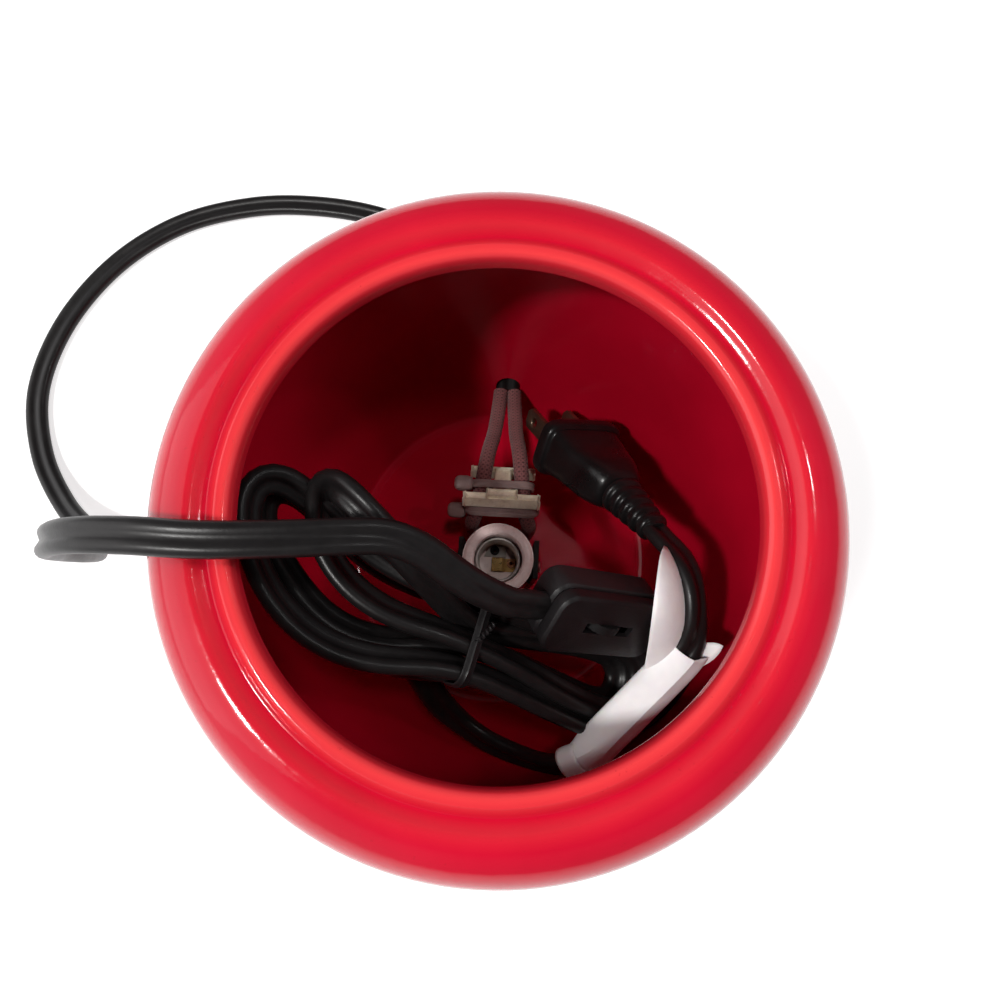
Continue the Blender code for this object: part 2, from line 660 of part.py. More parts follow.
def make_relief(cream, nylon):
    half = PLATE_LENGTH / 2
    web = PLATE_WEB / 2
    inner = PLATE_SPACING / 2 - PLATE_BAR / 2
    outer = PLATE_SPACING / 2 + PLATE_BAR / 2
    outline = [(-half, -outer), (half, -outer), (half, -inner), (web, -inner), (web, inner),
               (half, inner), (half, outer), (-half, outer), (-half, inner), (-web, inner),
               (-web, -inner), (-half, -inner)]
    plate = prism("strain_relief_plate", outline, -PLATE_THICKNESS / 2, PLATE_THICKNESS / 2, cream)
    slope = (0.0, -math.cos(PLATE_TILT), math.sin(PLATE_TILT))
    place(plate, PLATE_AT, (-1, 0, 0), slope)
    for word, (along, height), (half_x, half_z), lean in (
            ("upper", UPPER_TIE_AT, UPPER_TIE_HALF, UPPER_TIE_LEAN),
            ("lower", LOWER_TIE_AT, LOWER_TIE_HALF, LOWER_TIE_LEAN)):
        inner = rounded_outline(half_x, half_z, half_z * 0.9)
        outer = rounded_outline(half_x + TIE_THICKNESS, half_z + TIE_THICKNESS,
                                half_z * 0.9 + TIE_THICKNESS)
        headed = []
        for x, z in outer:
            headed.append((x - TIE_HEAD if x < -half_x else x, z))
        band = ring_prism("cable_tie_" + word, headed, inner, -TIE_WIDTH / 2, TIE_WIDTH / 2, nylon)
        place(band, (0.0, along, height), (1, 0, 0), (0, -math.sin(lean), math.cos(lean)))


def hank_axes():
    along = Vector(HANK_AXIS).normalized()
    across = Vector((0.0, 1.0, 0.0))
    across = (across - along * along.dot(across)).normalized()
    return along, across, along.cross(across)


def hank_point(along_by, across_by, above_by):
    along, across, above = hank_axes()
    sag = HANK_SAG * (max(0.0, along_by) / RIGHT_REACH) ** 2
    return Vector(HANK_WAIST) + along * along_by + across * across_by + above * (above_by - sag)


def half_width(along_by):
    # Half the hank's width: wide at both lobes, drawn in where the tie goes.
    lobe, reach = (LEFT_HALF, LEFT_REACH) if along_by < 0 else (RIGHT_HALF, RIGHT_REACH)
    spread = min(1.0, abs(along_by) / (0.62 * reach))
    return WAIST_HALF + (lobe - WAIST_HALF) * (0.5 - 0.5 * math.cos(math.pi * spread))


def loop_point(turns):
    # From the right end along the front run to the left end, back along the rear run.
    # The upper layer winds inwards, the middle run climbs down, the lower one winds outwards.
    climb_start = HANK_LOOPS / 2
    climb_end = climb_start + 0.5
    climb = min(1.0, max(0.0, (turns - climb_start) / 0.5))
    inward = min(turns, climb_start + climb_end - turns)
    inward = min(inward, climb_start) + 0.2 * math.sin(math.pi * climb)
    layer = LAYER_HALF * math.cos(math.pi * climb)
    angle = 2 * math.pi * (turns + 0.02 * math.sin(4 * math.pi * turns))
    cosine = math.cos(angle)
    sine = math.sin(angle)
    reach = RIGHT_REACH - inward * LOOP_STEP if cosine > 0 else LEFT_REACH - inward * LEFT_STEP
    along_by = reach * math.copysign(abs(cosine) ** 0.7, cosine)
    width = half_width(along_by) - inward * LOOP_STEP
    across_by = -width * math.copysign(abs(sine) ** 0.6, sine)
    return hank_point(along_by, across_by, layer)


def switch_axes():
    along = Vector(SWITCH_AXIS).normalized()
    above = along.cross(Vector(SWITCH_ACROSS)).normalized()
    return along, above.cross(along), above


def switch_point(along_by):
    return Vector(SWITCH_AT) + switch_axes()[0] * along_by


def cord_in_switch():
    return SWITCH_LENGTH / 2 - SWITCH_END + 0.0008


def hank_route():
    straight = 2 * CORD_RADIUS
    route = [switch_point(cord_in_switch()), switch_point(SWITCH_LENGTH / 2 + GAP),
             switch_point(SWITCH_LENGTH / 2 + straight)]
    route += [Vector(point) for point in HANK_LEAD_IN]
    for step in range(3, HANK_LOOPS * LOOP_POINTS + 7):
        route.append(loop_point(step / LOOP_POINTS))
    for step in (1, 2, 3, 4, 5, 6):
        angle = math.pi * step / 6
        along_by = -0.003 - UNWIND_RADIUS * math.sin(angle)
        across_by = LOOP_STEP * 0.1 - half_width(along_by)
        route.append(hank_point(along_by, across_by, UNWIND_RADIUS * (math.cos(angle) - 1) - LAYER_HALF))
    route += [Vector(point) for point in HANK_LEAD_OUT]
    last = Vector(TAIL_ROUTE[0])
    towards = (Vector(TAIL_ROUTE[1]) - last).normalized()
    route.append(last - towards * (GAP + straight))
    route.append(last - towards * GAP)
    return route


def least_self_gap(points, radius):
    # Measured between points on the tube's middle line, a millimetre apart.
    corners = np.array([tuple(p) for p in points])
    lengths = np.linalg.norm(np.diff(corners, axis=0), axis=1)
    along = np.concatenate([[0], np.cumsum(lengths)])
    marks = np.arange(0, along[-1], 0.001)
    line = np.stack([np.interp(marks, along, corners[:, axis]) for axis in range(3)], axis=1)
    apart = np.linalg.norm(line[:, None] - line[None], axis=2)
    apart[np.abs(marks[:, None] - marks[None]) < 10 * radius] = 1.0
    return apart.min() - 2 * radius


def make_cord(black):
    end = switch_point(-cord_in_switch())
    before = [switch_point(-SWITCH_LENGTH / 2 - reach) for reach in (0.009, 0.005)]
    outer = smooth_route(list(OUTER_ROUTE) + before, CORD_STEP)
    tube("cord_outer_run", [*outer, end], CORD_RADIUS, 3, black)
    loops = hank_route()
    gap = least_self_gap(loops, CORD_RADIUS)
    print("least gap of the hank to itself: %.2f mm" % (gap * 1000))
    tube("cord_hank", loops, CORD_RADIUS, 1, black)
    tube("cord_tail", tail_points(), CORD_RADIUS, 3, black)


def tail_points():
    axis = Vector(PLUG_AXIS).normalized()
    stern = Vector(PLUG_AT) + axis * (plug_length() + GAP)
    first = Vector(TAIL_ROUTE[0])
    second = first + (Vector(TAIL_ROUTE[1]) - first).normalized() * 2 * CORD_RADIUS
    route = [second, *TAIL_ROUTE[1:], stern + axis * 4 * CORD_RADIUS, stern + axis * 2 * CORD_RADIUS]
    return np.vstack([first, smooth_route(route, TAIL_STEP), stern])


def make_hank_tie(black):
    slack = CORD_RADIUS + TIE_SLACK
    rear = WAIST_HALF - 0.75 * LOOP_STEP + slack
    front = WAIST_HALF - 0.25 * LOOP_STEP + slack
    half_x = (rear + front) / 2
    half_y = LAYER_HALF + slack
    inner = rounded_outline(half_x, half_y, half_y * 0.4)
    outer = rounded_outline(half_x + HANK_TIE_THICKNESS, half_y + HANK_TIE_THICKNESS,
                            half_y * 0.4 + HANK_TIE_THICKNESS)
    tie = ring_prism("hank_tie", outer, inner, -HANK_TIE_WIDTH / 2, HANK_TIE_WIDTH / 2, black)
    along, across, above = hank_axes()
    place(tie, hank_point(0.0, (rear - front) / 2, 0.0), across, above)


def in_switch(item):
    along, across, above = switch_axes()
    return place(item, switch_point(0.0), along, across)


def make_switch(black, metal, brass):
    half_x = SWITCH_LENGTH / 2
    half_y = SWITCH_WIDTH / 2
    half_z = SWITCH_HEIGHT / 2
    pocket_x = half_x - SWITCH_END
    pocket_y = half_y - SWITCH_WALL
    pocket_z = half_z - SWITCH_WALL
    wheel_z = half_z + WHEEL_PROUD - WHEEL_RADIUS
    split = wheel_z
    body = rounded_outline(half_x, half_y, SWITCH_CORNER)
    hollow = rounded_outline(pocket_x, pocket_y, SWITCH_CORNER / 2)
    halves = {}
    for name, low, high in (("switch_lower_housing", -half_z, split - GAP / 2),
                            ("switch_upper_housing", split + GAP / 2, half_z)):
        halves[name] = in_switch(prism(name, body, low, high, black))
        edge = halves[name].modifiers.new("Edges", "BEVEL")
        edge.width = 0.0007
        edge.segments = 1
        edge.limit_method = "ANGLE"
        edge.angle_limit = math.radians(40)
    lower = halves["switch_lower_housing"]
    upper = halves["switch_upper_housing"]
    pocket = in_switch(prism("switch_pocket_cutter", hollow, -pocket_z, pocket_z, black))
    bore = pin("switch_bore_cutter", CORD_RADIUS + GAP, -2 * half_x, 2 * half_x, black)
    along, across, above = switch_axes()
    place(bore, switch_point(0.0), -above, across)
    slot = in_switch(box("switch_slot_cutter", (-SLOT_LENGTH / 2, -SLOT_OPENING / 2, 0.0),
                         (SLOT_LENGTH / 2, SLOT_OPENING / 2, 2 * half_z), black))
    saddle = pin("switch_saddle_cutter", AXLE_RADIUS + GAP, -half_y + SWITCH_WALL / 2,
                 half_y - SWITCH_WALL / 2, black)
    place(saddle, switch_point(0.0) + above * wheel_z, along, above * -1)
    for half in (lower, upper):
        cut(half, pocket)
        cut(half, bore)
        cut(half, saddle)
    cut(upper, slot)

    wheel_axis = switch_point(0.0) + above * wheel_z
    rim = []
    hub = []
    teeth = 2 * WHEEL_RIDGES
    for step in range(teeth):
        angle = 2 * math.pi * step / teeth
        radius = WHEEL_RADIUS - WHEEL_RIDGE_DEPTH * (step % 2)
        rim.append((radius * math.cos(angle), radius * math.sin(angle)))
        inside = AXLE_RADIUS + RUNNING_GAP
        hub.append((inside * math.cos(angle), inside * math.sin(angle)))
    wheel = ring_prism("switch_thumbwheel", rim, hub, -WHEEL_WIDTH / 2, WHEEL_WIDTH / 2, black)
    place(wheel, wheel_axis, along, above * -1)
    axle_half = half_y - SWITCH_WALL / 2 - GAP
    axle = pin("switch_axle", AXLE_RADIUS, -axle_half, axle_half, metal)
    place(axle, wheel_axis, along, above * -1)

    floor = -pocket_z + GAP
    t = LEAF_SHEET
    under_wheel = WHEEL_WIDTH / 2 + GAP
    for side, word in ((-1, "left"), (1, "right")):
        foot = side * (pocket_x - GAP)
        bend = side * 0.0062
        top = split - 0.0018
        shape = [(foot, floor), (foot, floor + t), (bend + side * t, floor + t), (bend + side * t, top),
                 (bend, top), (bend, floor)]
        leaf = prism("switch_contact_" + word, shape, -LEAF_WIDTH, 0.0, brass)
        place(leaf, switch_point(0.0) - across * (under_wheel + 0.0006), along, above)
        far = SWITCH_SCREW_PLACE
        seat = -half_z + 0.0014
        tip = half_z - 0.0016
        screw_x = side * (half_x - SWITCH_END * 0.55)
        shape = [(0.0, seat - 0.0012), (SWITCH_SCREW_HEAD, seat - 0.0012), (SWITCH_SCREW_HEAD, seat),
                 (SWITCH_SCREW_RADIUS, seat), (SWITCH_SCREW_RADIUS, tip), (0.0, tip)]
        screw = turned("switch_screw_" + word, shape, 14, metal)
        room = [(0.0, -2 * half_z), (SWITCH_SCREW_HEAD + GAP, -2 * half_z),
                (SWITCH_SCREW_HEAD + GAP, seat + GAP), (SWITCH_SCREW_RADIUS + GAP, seat + GAP),
                (SWITCH_SCREW_RADIUS + GAP, tip + GAP), (0.0, tip + GAP)]
        cutter = turned("switch_screw_cutter_" + word, room, 14, metal)
        middle = switch_point(screw_x) + across * (side * far)
        place(screw, middle, along, across)
        place(cutter, middle, along, across)
        cut(lower, cutter)
        cut(upper, cutter)


def plug_length():
    return FLANGE_DEPTH + GRIP_LENGTH + RELIEF_LENGTH


def in_plug(item):
    return place(item, PLUG_AT, PLUG_AXIS, PLUG_ACROSS)


def plug_section(along, half_y, half_z, squareness, count=18):
    section = []
    power = 2 / squareness
    for step in range(count):
        angle = 2 * math.pi * (step + 0.5) / count
        y = half_y * math.copysign(abs(math.cos(angle)) ** power, math.cos(angle))
        z = half_z * math.copysign(abs(math.sin(angle)) ** power, math.sin(angle))
        section.append((along, y, z))
    return section


def make_plug(black, metal, core):
    wide, thick = FLANGE_HALF
    edge = 0.0007
    sections = [plug_section(0.0, wide - edge, thick - edge, 5),
                plug_section(edge, wide, thick, 5),
                plug_section(FLANGE_DEPTH - edge, wide, thick, 5),
                plug_section(FLANGE_DEPTH, wide - edge, thick - edge, 5)]
    shape = ((0.04, 0.86, 0.86), (0.40, 0.82, 0.84), (0.75, 0.68, 0.78), (0.95, 0.54, 0.68),
             (1.0, 0.47, 0.60))
    for part, share_y, share_z in shape:
        sections.append(plug_section(FLANGE_DEPTH + GRIP_LENGTH * part, wide * share_y,
                                     thick * share_z, 5 - 2.2 * part))
    stern = FLANGE_DEPTH + GRIP_LENGTH
    steps = 2 * RELIEF_RIBS
    for step in range(1, 2 * steps + 1):
        part = step / (2 * steps)
        rib = RELIEF_RIB_HEIGHT * (1 if step // 2 % 2 else -1)
        radius = 0.0052 + (CORD_RADIUS + 0.0008 - 0.0052) * part + rib
        sections.append(plug_section(stern + RELIEF_LENGTH * part, radius * 1.08, radius * 0.95, 2.2))
    body = in_plug(lofted("plug_body", sections, black))
    half_y, half_z = INSERT_HALF
    pocket = box("plug_pocket_cutter", (-0.002, -half_y - GAP, -half_z - GAP),
                 (INSERT_DEPTH + GAP, half_y + GAP, half_z + GAP), black)
    cut(body, in_plug(pocket))
    insert = in_plug(box("plug_insert", (GAP, -half_y, -half_z), (INSERT_DEPTH, half_y, half_z), core))
    for side, word in ((-1, "left"), (1, "right")):
        y = side * BLADE_SPACING / 2
        half_t = BLADE_THICKNESS / 2
        half_w = BLADE_WIDTH / 2
        slot = box("blade_slot_cutter_" + word, (-0.002, y - half_t - GAP, -half_w - GAP),
                   (INSERT_DEPTH + 0.002, y + half_t + GAP, half_w + GAP), black)
        cut(insert, in_plug(slot))
        tip = 0.0014
        outline = [(BLADE_ROOT, -half_w), (BLADE_ROOT, half_w), (-BLADE_LENGTH + tip, half_w),
                   (-BLADE_LENGTH, half_w - tip), (-BLADE_LENGTH, -half_w + tip),
                   (-BLADE_LENGTH + tip, -half_w)]
        blade = prism("plug_blade_" + word, outline, -half_t, half_t, metal)
        axis = Vector(PLUG_AXIS).normalized()
        across = Vector(PLUG_ACROSS).normalized()
        origin = Vector(PLUG_AT) + across * y
        place(blade, origin, axis, axis.cross(across))
        hole = pin("blade_hole_cutter_" + word, BLADE_HOLE, -0.002, 0.002, metal, 14)
        place(hole, origin - axis * BLADE_LENGTH * 0.72, axis, axis.cross(across))
        cut(blade, hole)


def make_label(paper):
    # A sheet that stands against the wall as a flag, then passes below the cord and over it.
    # The wrap is askew: towards the plug the cover over the cord ends sooner.
    line = tail_points()
    along = np.concatenate([[0], np.cumsum(np.linalg.norm(np.diff(line, axis=0), axis=1))])
    marks = np.linspace(LABEL_START, LABEL_START + LABEL_LENGTH, LABEL_STATIONS)
    stations = np.stack([np.interp(marks, along, line[:, axis]) for axis in range(3)], axis=1)
    reach = CORD_RADIUS + LABEL_SLACK + PAPER / 2
    rows = []
    for index, (point, (tangent, side, up)) in enumerate(zip(stations, frames_along(stations))):
        part = index / (LABEL_STATIONS - 1)
        outward = np.array((point[0], point[1], 0.0))
        outward = outward - tangent * np.dot(outward, tangent)
        outward /= np.linalg.norm(outward)
        upward = np.cross(outward, tangent)
        if upward[2] < 0:
            upward = -upward
        lean = LABEL_LEAN[0] + (LABEL_LEAN[1] - LABEL_LEAN[0]) * part
        sweep = math.radians(330 - 130 * max(0.0, part - 0.5) / 0.5)
        root = (math.cos(lean) * outward - math.sin(lean) * upward) * reach
        rise = math.sin(lean) * outward + math.cos(lean) * upward
        flag = LABEL_FLAG * (1 - 0.45 * part)
        row = [point + root + rise * flag, point + root + rise * flag * 0.5]
        for step in range(9):
            angle = -lean - sweep * step / 8
            row.append(point + reach * (math.cos(angle) * outward + math.sin(angle) * upward))
        rows.append(row)
    count = len(rows[0])
    points = [p for row in rows for p in row]
    faces = []
    for row in range(len(rows) - 1):
        for step in range(count - 1):
            corner = row * count + step
            faces.append([corner, corner + 1, corner + 1 + count, corner + count])
    label = mesh_object("cord_label", points, faces, paper)
    thick = label.modifiers.new("Paper", "SOLIDIFY")
    thick.thickness = PAPER
    thick.offset = 0.0


def main():
    clear_scene()
    glaze = finish_material("red glaze", (0.62, 0.012, 0.028), 0.08)
    rubber = finish_material("rubber", (0.03, 0.03, 0.03), 0.8)
    black_steel = finish_material("black steel", (0.02, 0.02, 0.02), 0.4, 0.6)
    zinc = finish_material("zinc", (0.62, 0.62, 0.60), 0.35, 1.0)
    fibre = finish_material("fibre washer", (0.35, 0.10, 0.05), 0.8)
    porcelain = finish_material("porcelain", (0.80, 0.74, 0.70), 0.25)
    shell_metal = finish_material("shell metal", (0.70, 0.69, 0.66), 0.3, 1.0)
    brass = finish_material("brass", (0.72, 0.50, 0.22), 0.3, 1.0)
    copper = finish_material("copper", (0.65, 0.34, 0.20), 0.3, 1.0)
    glass_sleeve = finish_material("glass sleeve", (0.60, 0.52, 0.48), 0.85)
    cream = finish_material("cream plastic", (0.78, 0.70, 0.52), 0.4)
    nylon = finish_material("nylon", (0.55, 0.47, 0.45), 0.45)
    cord_black = finish_material("cord", (0.022, 0.021, 0.021), 0.38)
    moulded_black = finish_material("moulded black", (0.018, 0.017, 0.017), 0.42)
    paper = finish_material("label paper", (0.85, 0.83, 0.82), 0.7)

    make_pot(glaze)
    make_feet(rubber)
    make_saddle(black_steel, zinc, fibre)
    make_holder(porcelain)
    make_shell(shell_metal)
    make_contacts(shell_metal, brass, copper)
    make_leads(glass_sleeve, copper)
    make_relief(cream, nylon)
    make_cord(cord_black)
    make_hank_tie(moulded_black)
    make_switch(moulded_black, zinc, brass)
    make_plug(moulded_black, brass, moulded_black)
    make_label(paper)


main()
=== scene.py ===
import math

import bmesh
import bpy
import numpy as np
from mathutils import Matrix, Vector


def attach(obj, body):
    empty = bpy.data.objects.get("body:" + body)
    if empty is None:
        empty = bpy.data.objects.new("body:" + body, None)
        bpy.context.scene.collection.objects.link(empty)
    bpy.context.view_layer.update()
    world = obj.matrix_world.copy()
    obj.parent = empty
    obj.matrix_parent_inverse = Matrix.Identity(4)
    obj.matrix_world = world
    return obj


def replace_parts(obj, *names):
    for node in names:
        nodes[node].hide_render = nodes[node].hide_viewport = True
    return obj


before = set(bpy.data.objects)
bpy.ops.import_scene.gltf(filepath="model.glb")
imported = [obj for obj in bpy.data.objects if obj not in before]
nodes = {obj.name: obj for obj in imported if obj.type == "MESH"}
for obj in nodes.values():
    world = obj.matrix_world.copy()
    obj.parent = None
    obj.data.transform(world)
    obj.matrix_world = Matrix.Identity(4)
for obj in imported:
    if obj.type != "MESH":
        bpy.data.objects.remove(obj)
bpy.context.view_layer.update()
print("frame loaded,", len(nodes), "nodes")


# Mesh helpers

def unit(vector):
    vector = np.array(vector, float)
    return vector / np.linalg.norm(vector)


def unitRows(vectors):
    return vectors / np.linalg.norm(vectors, axis=1)[:, None]


def clamped(value):
    return min(1.0, max(0.0, value))


def addToScene(name, data):
    made = bpy.data.objects.new(name, data)
    bpy.context.scene.collection.objects.link(made)
    return made


def shadeMesh(mesh, shape, sharpAngle):
    shape.to_mesh(mesh)
    shape.free()
    mesh.shade_smooth()
    mesh.set_sharp_from_angle(angle=math.radians(sharpAngle))


def addPiece(name, mesh, shape, material, sharpAngle, body="warmer"):
    shadeMesh(mesh, shape, sharpAngle)
    mesh.materials.append(material)
    piece = addToScene(name, mesh)
    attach(piece, body)
    return piece


def newPiece(name, points, faces, material, sharpAngle, uvs=None):
    mesh = bpy.data.meshes.new(name)
    mesh.from_pydata([tuple(p) for p in points], [], faces)
    if uvs is not None:
        layer = mesh.uv_layers.new(name="UVMap")
        for loop in mesh.loops:
            layer.data[loop.index].uv = uvs[loop.vertex_index]
    shape = bmesh.new()
    shape.from_mesh(mesh)
    bmesh.ops.recalc_face_normals(shape, faces=shape.faces)
    return addPiece(name, mesh, shape, material, sharpAngle)


def arcLength(points):
    return np.concatenate([[0], np.cumsum(np.linalg.norm(np.diff(points, axis=0), axis=1))])


def sampled(points, along, marks):
    return np.stack([np.interp(marks, along, points[:, axis]) for axis in range(3)], axis=1)


def smoothLine(route, step):
    # Even steps along a smooth curve through the route's points.
    knots = np.array([tuple(p) for p in route], float)
    padded = np.vstack([2 * knots[0] - knots[1], knots, 2 * knots[-1] - knots[-2]])
    fine = []
    for index in range(1, len(padded) - 2):
        before, start, end, after = padded[index - 1:index + 3]
        for part in np.linspace(0, 1, 14, endpoint=False):
            fine.append(0.5 * (2 * start + (end - before) * part
                               + (2 * before - 5 * start + 4 * end - after) * part ** 2
                               + (3 * start - before - 3 * end + after) * part ** 3))
    fine.append(padded[-2])
    fine = np.array(fine)
    along = arcLength(fine)
    return sampled(fine, along, np.linspace(0, along[-1], max(3, math.ceil(along[-1] / step) + 1)))


def tangentsOf(path):
    return unitRows(np.gradient(path, axis=0))


def squareTo(tangents, wished):
    return unitRows(wished - tangents * np.sum(wished * tangents, axis=1)[:, None])


def blurred(values, width):
    kernel = np.hanning(2 * width + 3)[1:-1]
    kernel /= kernel.sum()
    padded = np.pad(values, ((width, width), (0, 0)), mode="edge")
    return np.stack([np.convolve(padded[:, axis], kernel, "valid") for axis in range(3)], axis=1)


def ringFaces(rings, count, closed=False):
    # Faces from ring to ring of points, then back to the first ring or over both ends.
    faces = []
    for row in range(rings if closed else rings - 1):
        lower = row * count
        upper = (row + 1) % rings * count
        for step in range(count):
            after = (step + 1) % count
            faces.append([lower + step, lower + after, upper + after, upper + step])
    if not closed:
        faces += [list(range(count)), list(range((rings - 1) * count, rings * count))]
    return faces


def loftPiece(name, rings, material, sharpAngle, closed=False, uvs=None):
    points = [point for ring in rings for point in ring]
    faces = ringFaces(len(rings), len(rings[0]), closed)
    return newPiece(name, points, faces, material, sharpAngle, uvs)


def swept(name, path, wished, section, material, closed=False):
    # The section's first axis is the wide one, its second lies along the wished normal.
    path = np.array(path, float)
    tangents = tangentsOf(path)
    if closed:
        tangents = unitRows(np.roll(path, -1, axis=0) - np.roll(path, 1, axis=0))
    normals = squareTo(tangents, np.array(wished, float))
    sides = np.cross(normals, tangents)
    rings = []
    uvs = []
    for place, side, normal, along in zip(path, sides, normals, arcLength(path)):
        rings.append([place + side * a + normal * b for a, b in section])
        uvs += [(along * 1000, step / len(section)) for step in range(len(section))]
    return loftPiece(name, rings, material, 60, closed, uvs)


def breakEdges(shape, edges, width, segments):
    bmesh.ops.bevel(shape, geom=edges, offset=width, offset_type="OFFSET", segments=segments,
                    profile=0.5, affect="EDGES", clamp_overlap=True)


refineRules = {"merge": 0.000002, "flat": math.radians(1.5), "corner": math.radians(40), "sharp": 35}


def refined(node, material, edgeWidth, slotName, body="warmer"):
    # The node's own shape with clean shading and broken edges.
    p = refineRules
    name = node + "_finished"
    shape = bmesh.new()
    shape.from_mesh(nodes[node].data)
    bmesh.ops.remove_doubles(shape, verts=shape.verts, dist=p["merge"])
    bmesh.ops.dissolve_limit(shape, angle_limit=p["flat"], verts=shape.verts, edges=shape.edges)
    if edgeWidth:
        corners = [e for e in shape.edges if len(e.link_faces) == 2 and e.calc_face_angle() > p["corner"]]
        breakEdges(shape, corners, edgeWidth, 2)
    piece = addPiece(name, bpy.data.meshes.new(name), shape, material, p["sharp"], body)
    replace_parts(piece, node)
    return piece


# Material helpers

class Paint:
    def __init__(self, name, family="materials"):
        self.owner = getattr(bpy.data, family).new(name)
        self.owner.use_nodes = True
        self.tree = self.owner.node_tree
        self.shader = self.tree.nodes.get("Principled BSDF")
        self.place = self.node("ShaderNodeTexCoord")

    def node(self, kind, **values):
        made = self.tree.nodes.new(kind)
        for key, value in values.items():
            setattr(made, key, value)
        return made

    def link(self, source, target):
        self.tree.links.new(source, target)

    def feed(self, socket, source):
        # A node's output is linked, a plain value is set on the socket.
        if hasattr(source, "is_output"):
            self.link(source, socket)
        else:
            socket.default_value = source

    def finish(self, **values):
        for key, value in values.items():
            self.feed(self.shader.inputs[key.replace("_", " ")], value)
        return self.owner

    def noise(self, scale, detail=4.0, roughness=0.55, stretch=(1, 1, 1), source="Object"):
        texture = self.node("ShaderNodeTexNoise")
        texture.inputs["Scale"].default_value = scale
        texture.inputs["Detail"].default_value = detail
        texture.inputs["Roughness"].default_value = roughness
        mapping = self.node("ShaderNodeMapping")
        mapping.inputs["Scale"].default_value = stretch
        self.link(self.place.outputs[source], mapping.inputs["Vector"])
        self.link(mapping.outputs["Vector"], texture.inputs["Vector"])
        return texture.outputs["Fac"]

    def ramp(self, source, stops):
        made = self.node("ShaderNodeValToRGB")
        ramp = made.color_ramp
        while len(ramp.elements) < len(stops):
            ramp.elements.new(0.5)
        for element, (position, colour) in zip(ramp.elements, stops):
            element.position = position
            colour = colour if isinstance(colour, tuple) else (colour, colour, colour)
            element.color = (*colour, 1.0)
        self.link(source, made.inputs["Fac"])
        return made.outputs["Color"]

    def between(self, source, low, high):
        return self.ramp(source, [(0.3, low), (0.7, high)])

    def maths(self, kind, *sources):
        made = self.node("ShaderNodeMath", operation=kind)
        for socket, source in zip(made.inputs, sources):
            self.feed(socket, source)
        return made.outputs["Value"]

    def mix(self, factor, first, second, kind="MIX"):
        made = self.node("ShaderNodeMix", data_type="RGBA", blend_type=kind)
        sockets = made.inputs[0], made.inputs[6], made.inputs[7]
        for socket, source in zip(sockets, (factor, first, second)):
            self.feed(socket, (*source, 1.0) if isinstance(source, tuple) else source)
        return made.outputs[2]

    def tint(self, colour, mask, share, tone):
        return self.mix(self.maths("MULTIPLY", mask, share), colour, tone)

    def bump(self, height, strength, distance, under=None):
        made = self.node("ShaderNodeBump")
        made.inputs["Strength"].default_value = strength
        made.inputs["Distance"].default_value = distance
        self.link(height, made.inputs["Height"])
        if under is not None:
            self.link(under, made.inputs["Normal"])
        return made.outputs["Normal"]

    def axes(self, source="Object"):
        made = self.node("ShaderNodeSeparateXYZ")
        self.link(self.place.outputs[source], made.inputs[0])
        return made.outputs


glazeBands = {"lip": 0.050, "lipSpan": 0.016, "rim": 0.112, "bare": 0.010}


def glazePaint():
    p = glazeBands
    paint = Paint("redGlaze")
    x, y, z = paint.axes()
    squares = paint.maths("ADD", paint.maths("MULTIPLY", x, x), paint.maths("MULTIPLY", y, y))
    radius = paint.maths("SQRT", squares)
    cloud = paint.noise(38, 3, 0.5)
    speck = paint.noise(900, 2, 0.5)
    outer = paint.between(cloud, (0.48, 0.0020, 0.0185), (0.555, 0.0035, 0.0240))
    # Painted shade: the inside grows darker further down, from the lip to the floor.
    insideShade = paint.node("ShaderNodeAttribute", attribute_name="insideShade").outputs["Fac"]
    deep = paint.between(cloud, (0.36, 0.0014, 0.0135), (0.43, 0.0022, 0.0170))
    colour = paint.mix(insideShade, outer, deep)
    # Lighter crests on the lip and ridge, partly thinner glaze and partly a painted highlight; pooled glaze
    # in the groove.
    across = paint.maths("MULTIPLY", paint.maths("SUBTRACT", radius, p["lip"]), 1 / p["lipSpan"])
    thinGlazeAndHighlight = paint.ramp(across, [(0.08, 0.0), (0.20, 1.0), (0.33, 0.55),
                               (0.44, 0.0), (0.60, 0.35), (0.80, 0.0)])
    high = paint.ramp(paint.maths("MULTIPLY", z, 1 / p["rim"]), [(0.93, 0.0), (0.985, 1.0)])
    colour = paint.tint(colour, paint.maths("MULTIPLY", thinGlazeAndHighlight, high), 0.55, (0.90, 0.075, 0.070))
    colour = paint.tint(colour, paint.ramp(speck, [(0.70, 0.0), (0.76, 1.0)]), 0.25, (0.30, 0.004, 0.010))
    # Bare clay under the foot.
    bare = paint.ramp(paint.maths("MULTIPLY", z, 1 / p["bare"]), [(0.26, 1.0), (0.34, 0.0)])
    clay = paint.between(paint.noise(700, 4), (0.62, 0.52, 0.40), (0.72, 0.62, 0.50))
    colour = paint.mix(bare, colour, clay)
    rough = paint.ramp(paint.noise(160, 3), [(0.3, 0.085), (0.75, 0.150)])
    rough = paint.maths("ADD", rough, paint.maths("MULTIPLY", bare, 0.7))
    wave = paint.bump(paint.noise(42, 2, 0.4), 0.10, 0.0025)
    peel = paint.bump(paint.noise(420, 2, 0.5), 0.05, 0.0006, wave)
    return paint.finish(Base_Color=colour, Roughness=rough, Normal=peel, IOR=1.42)


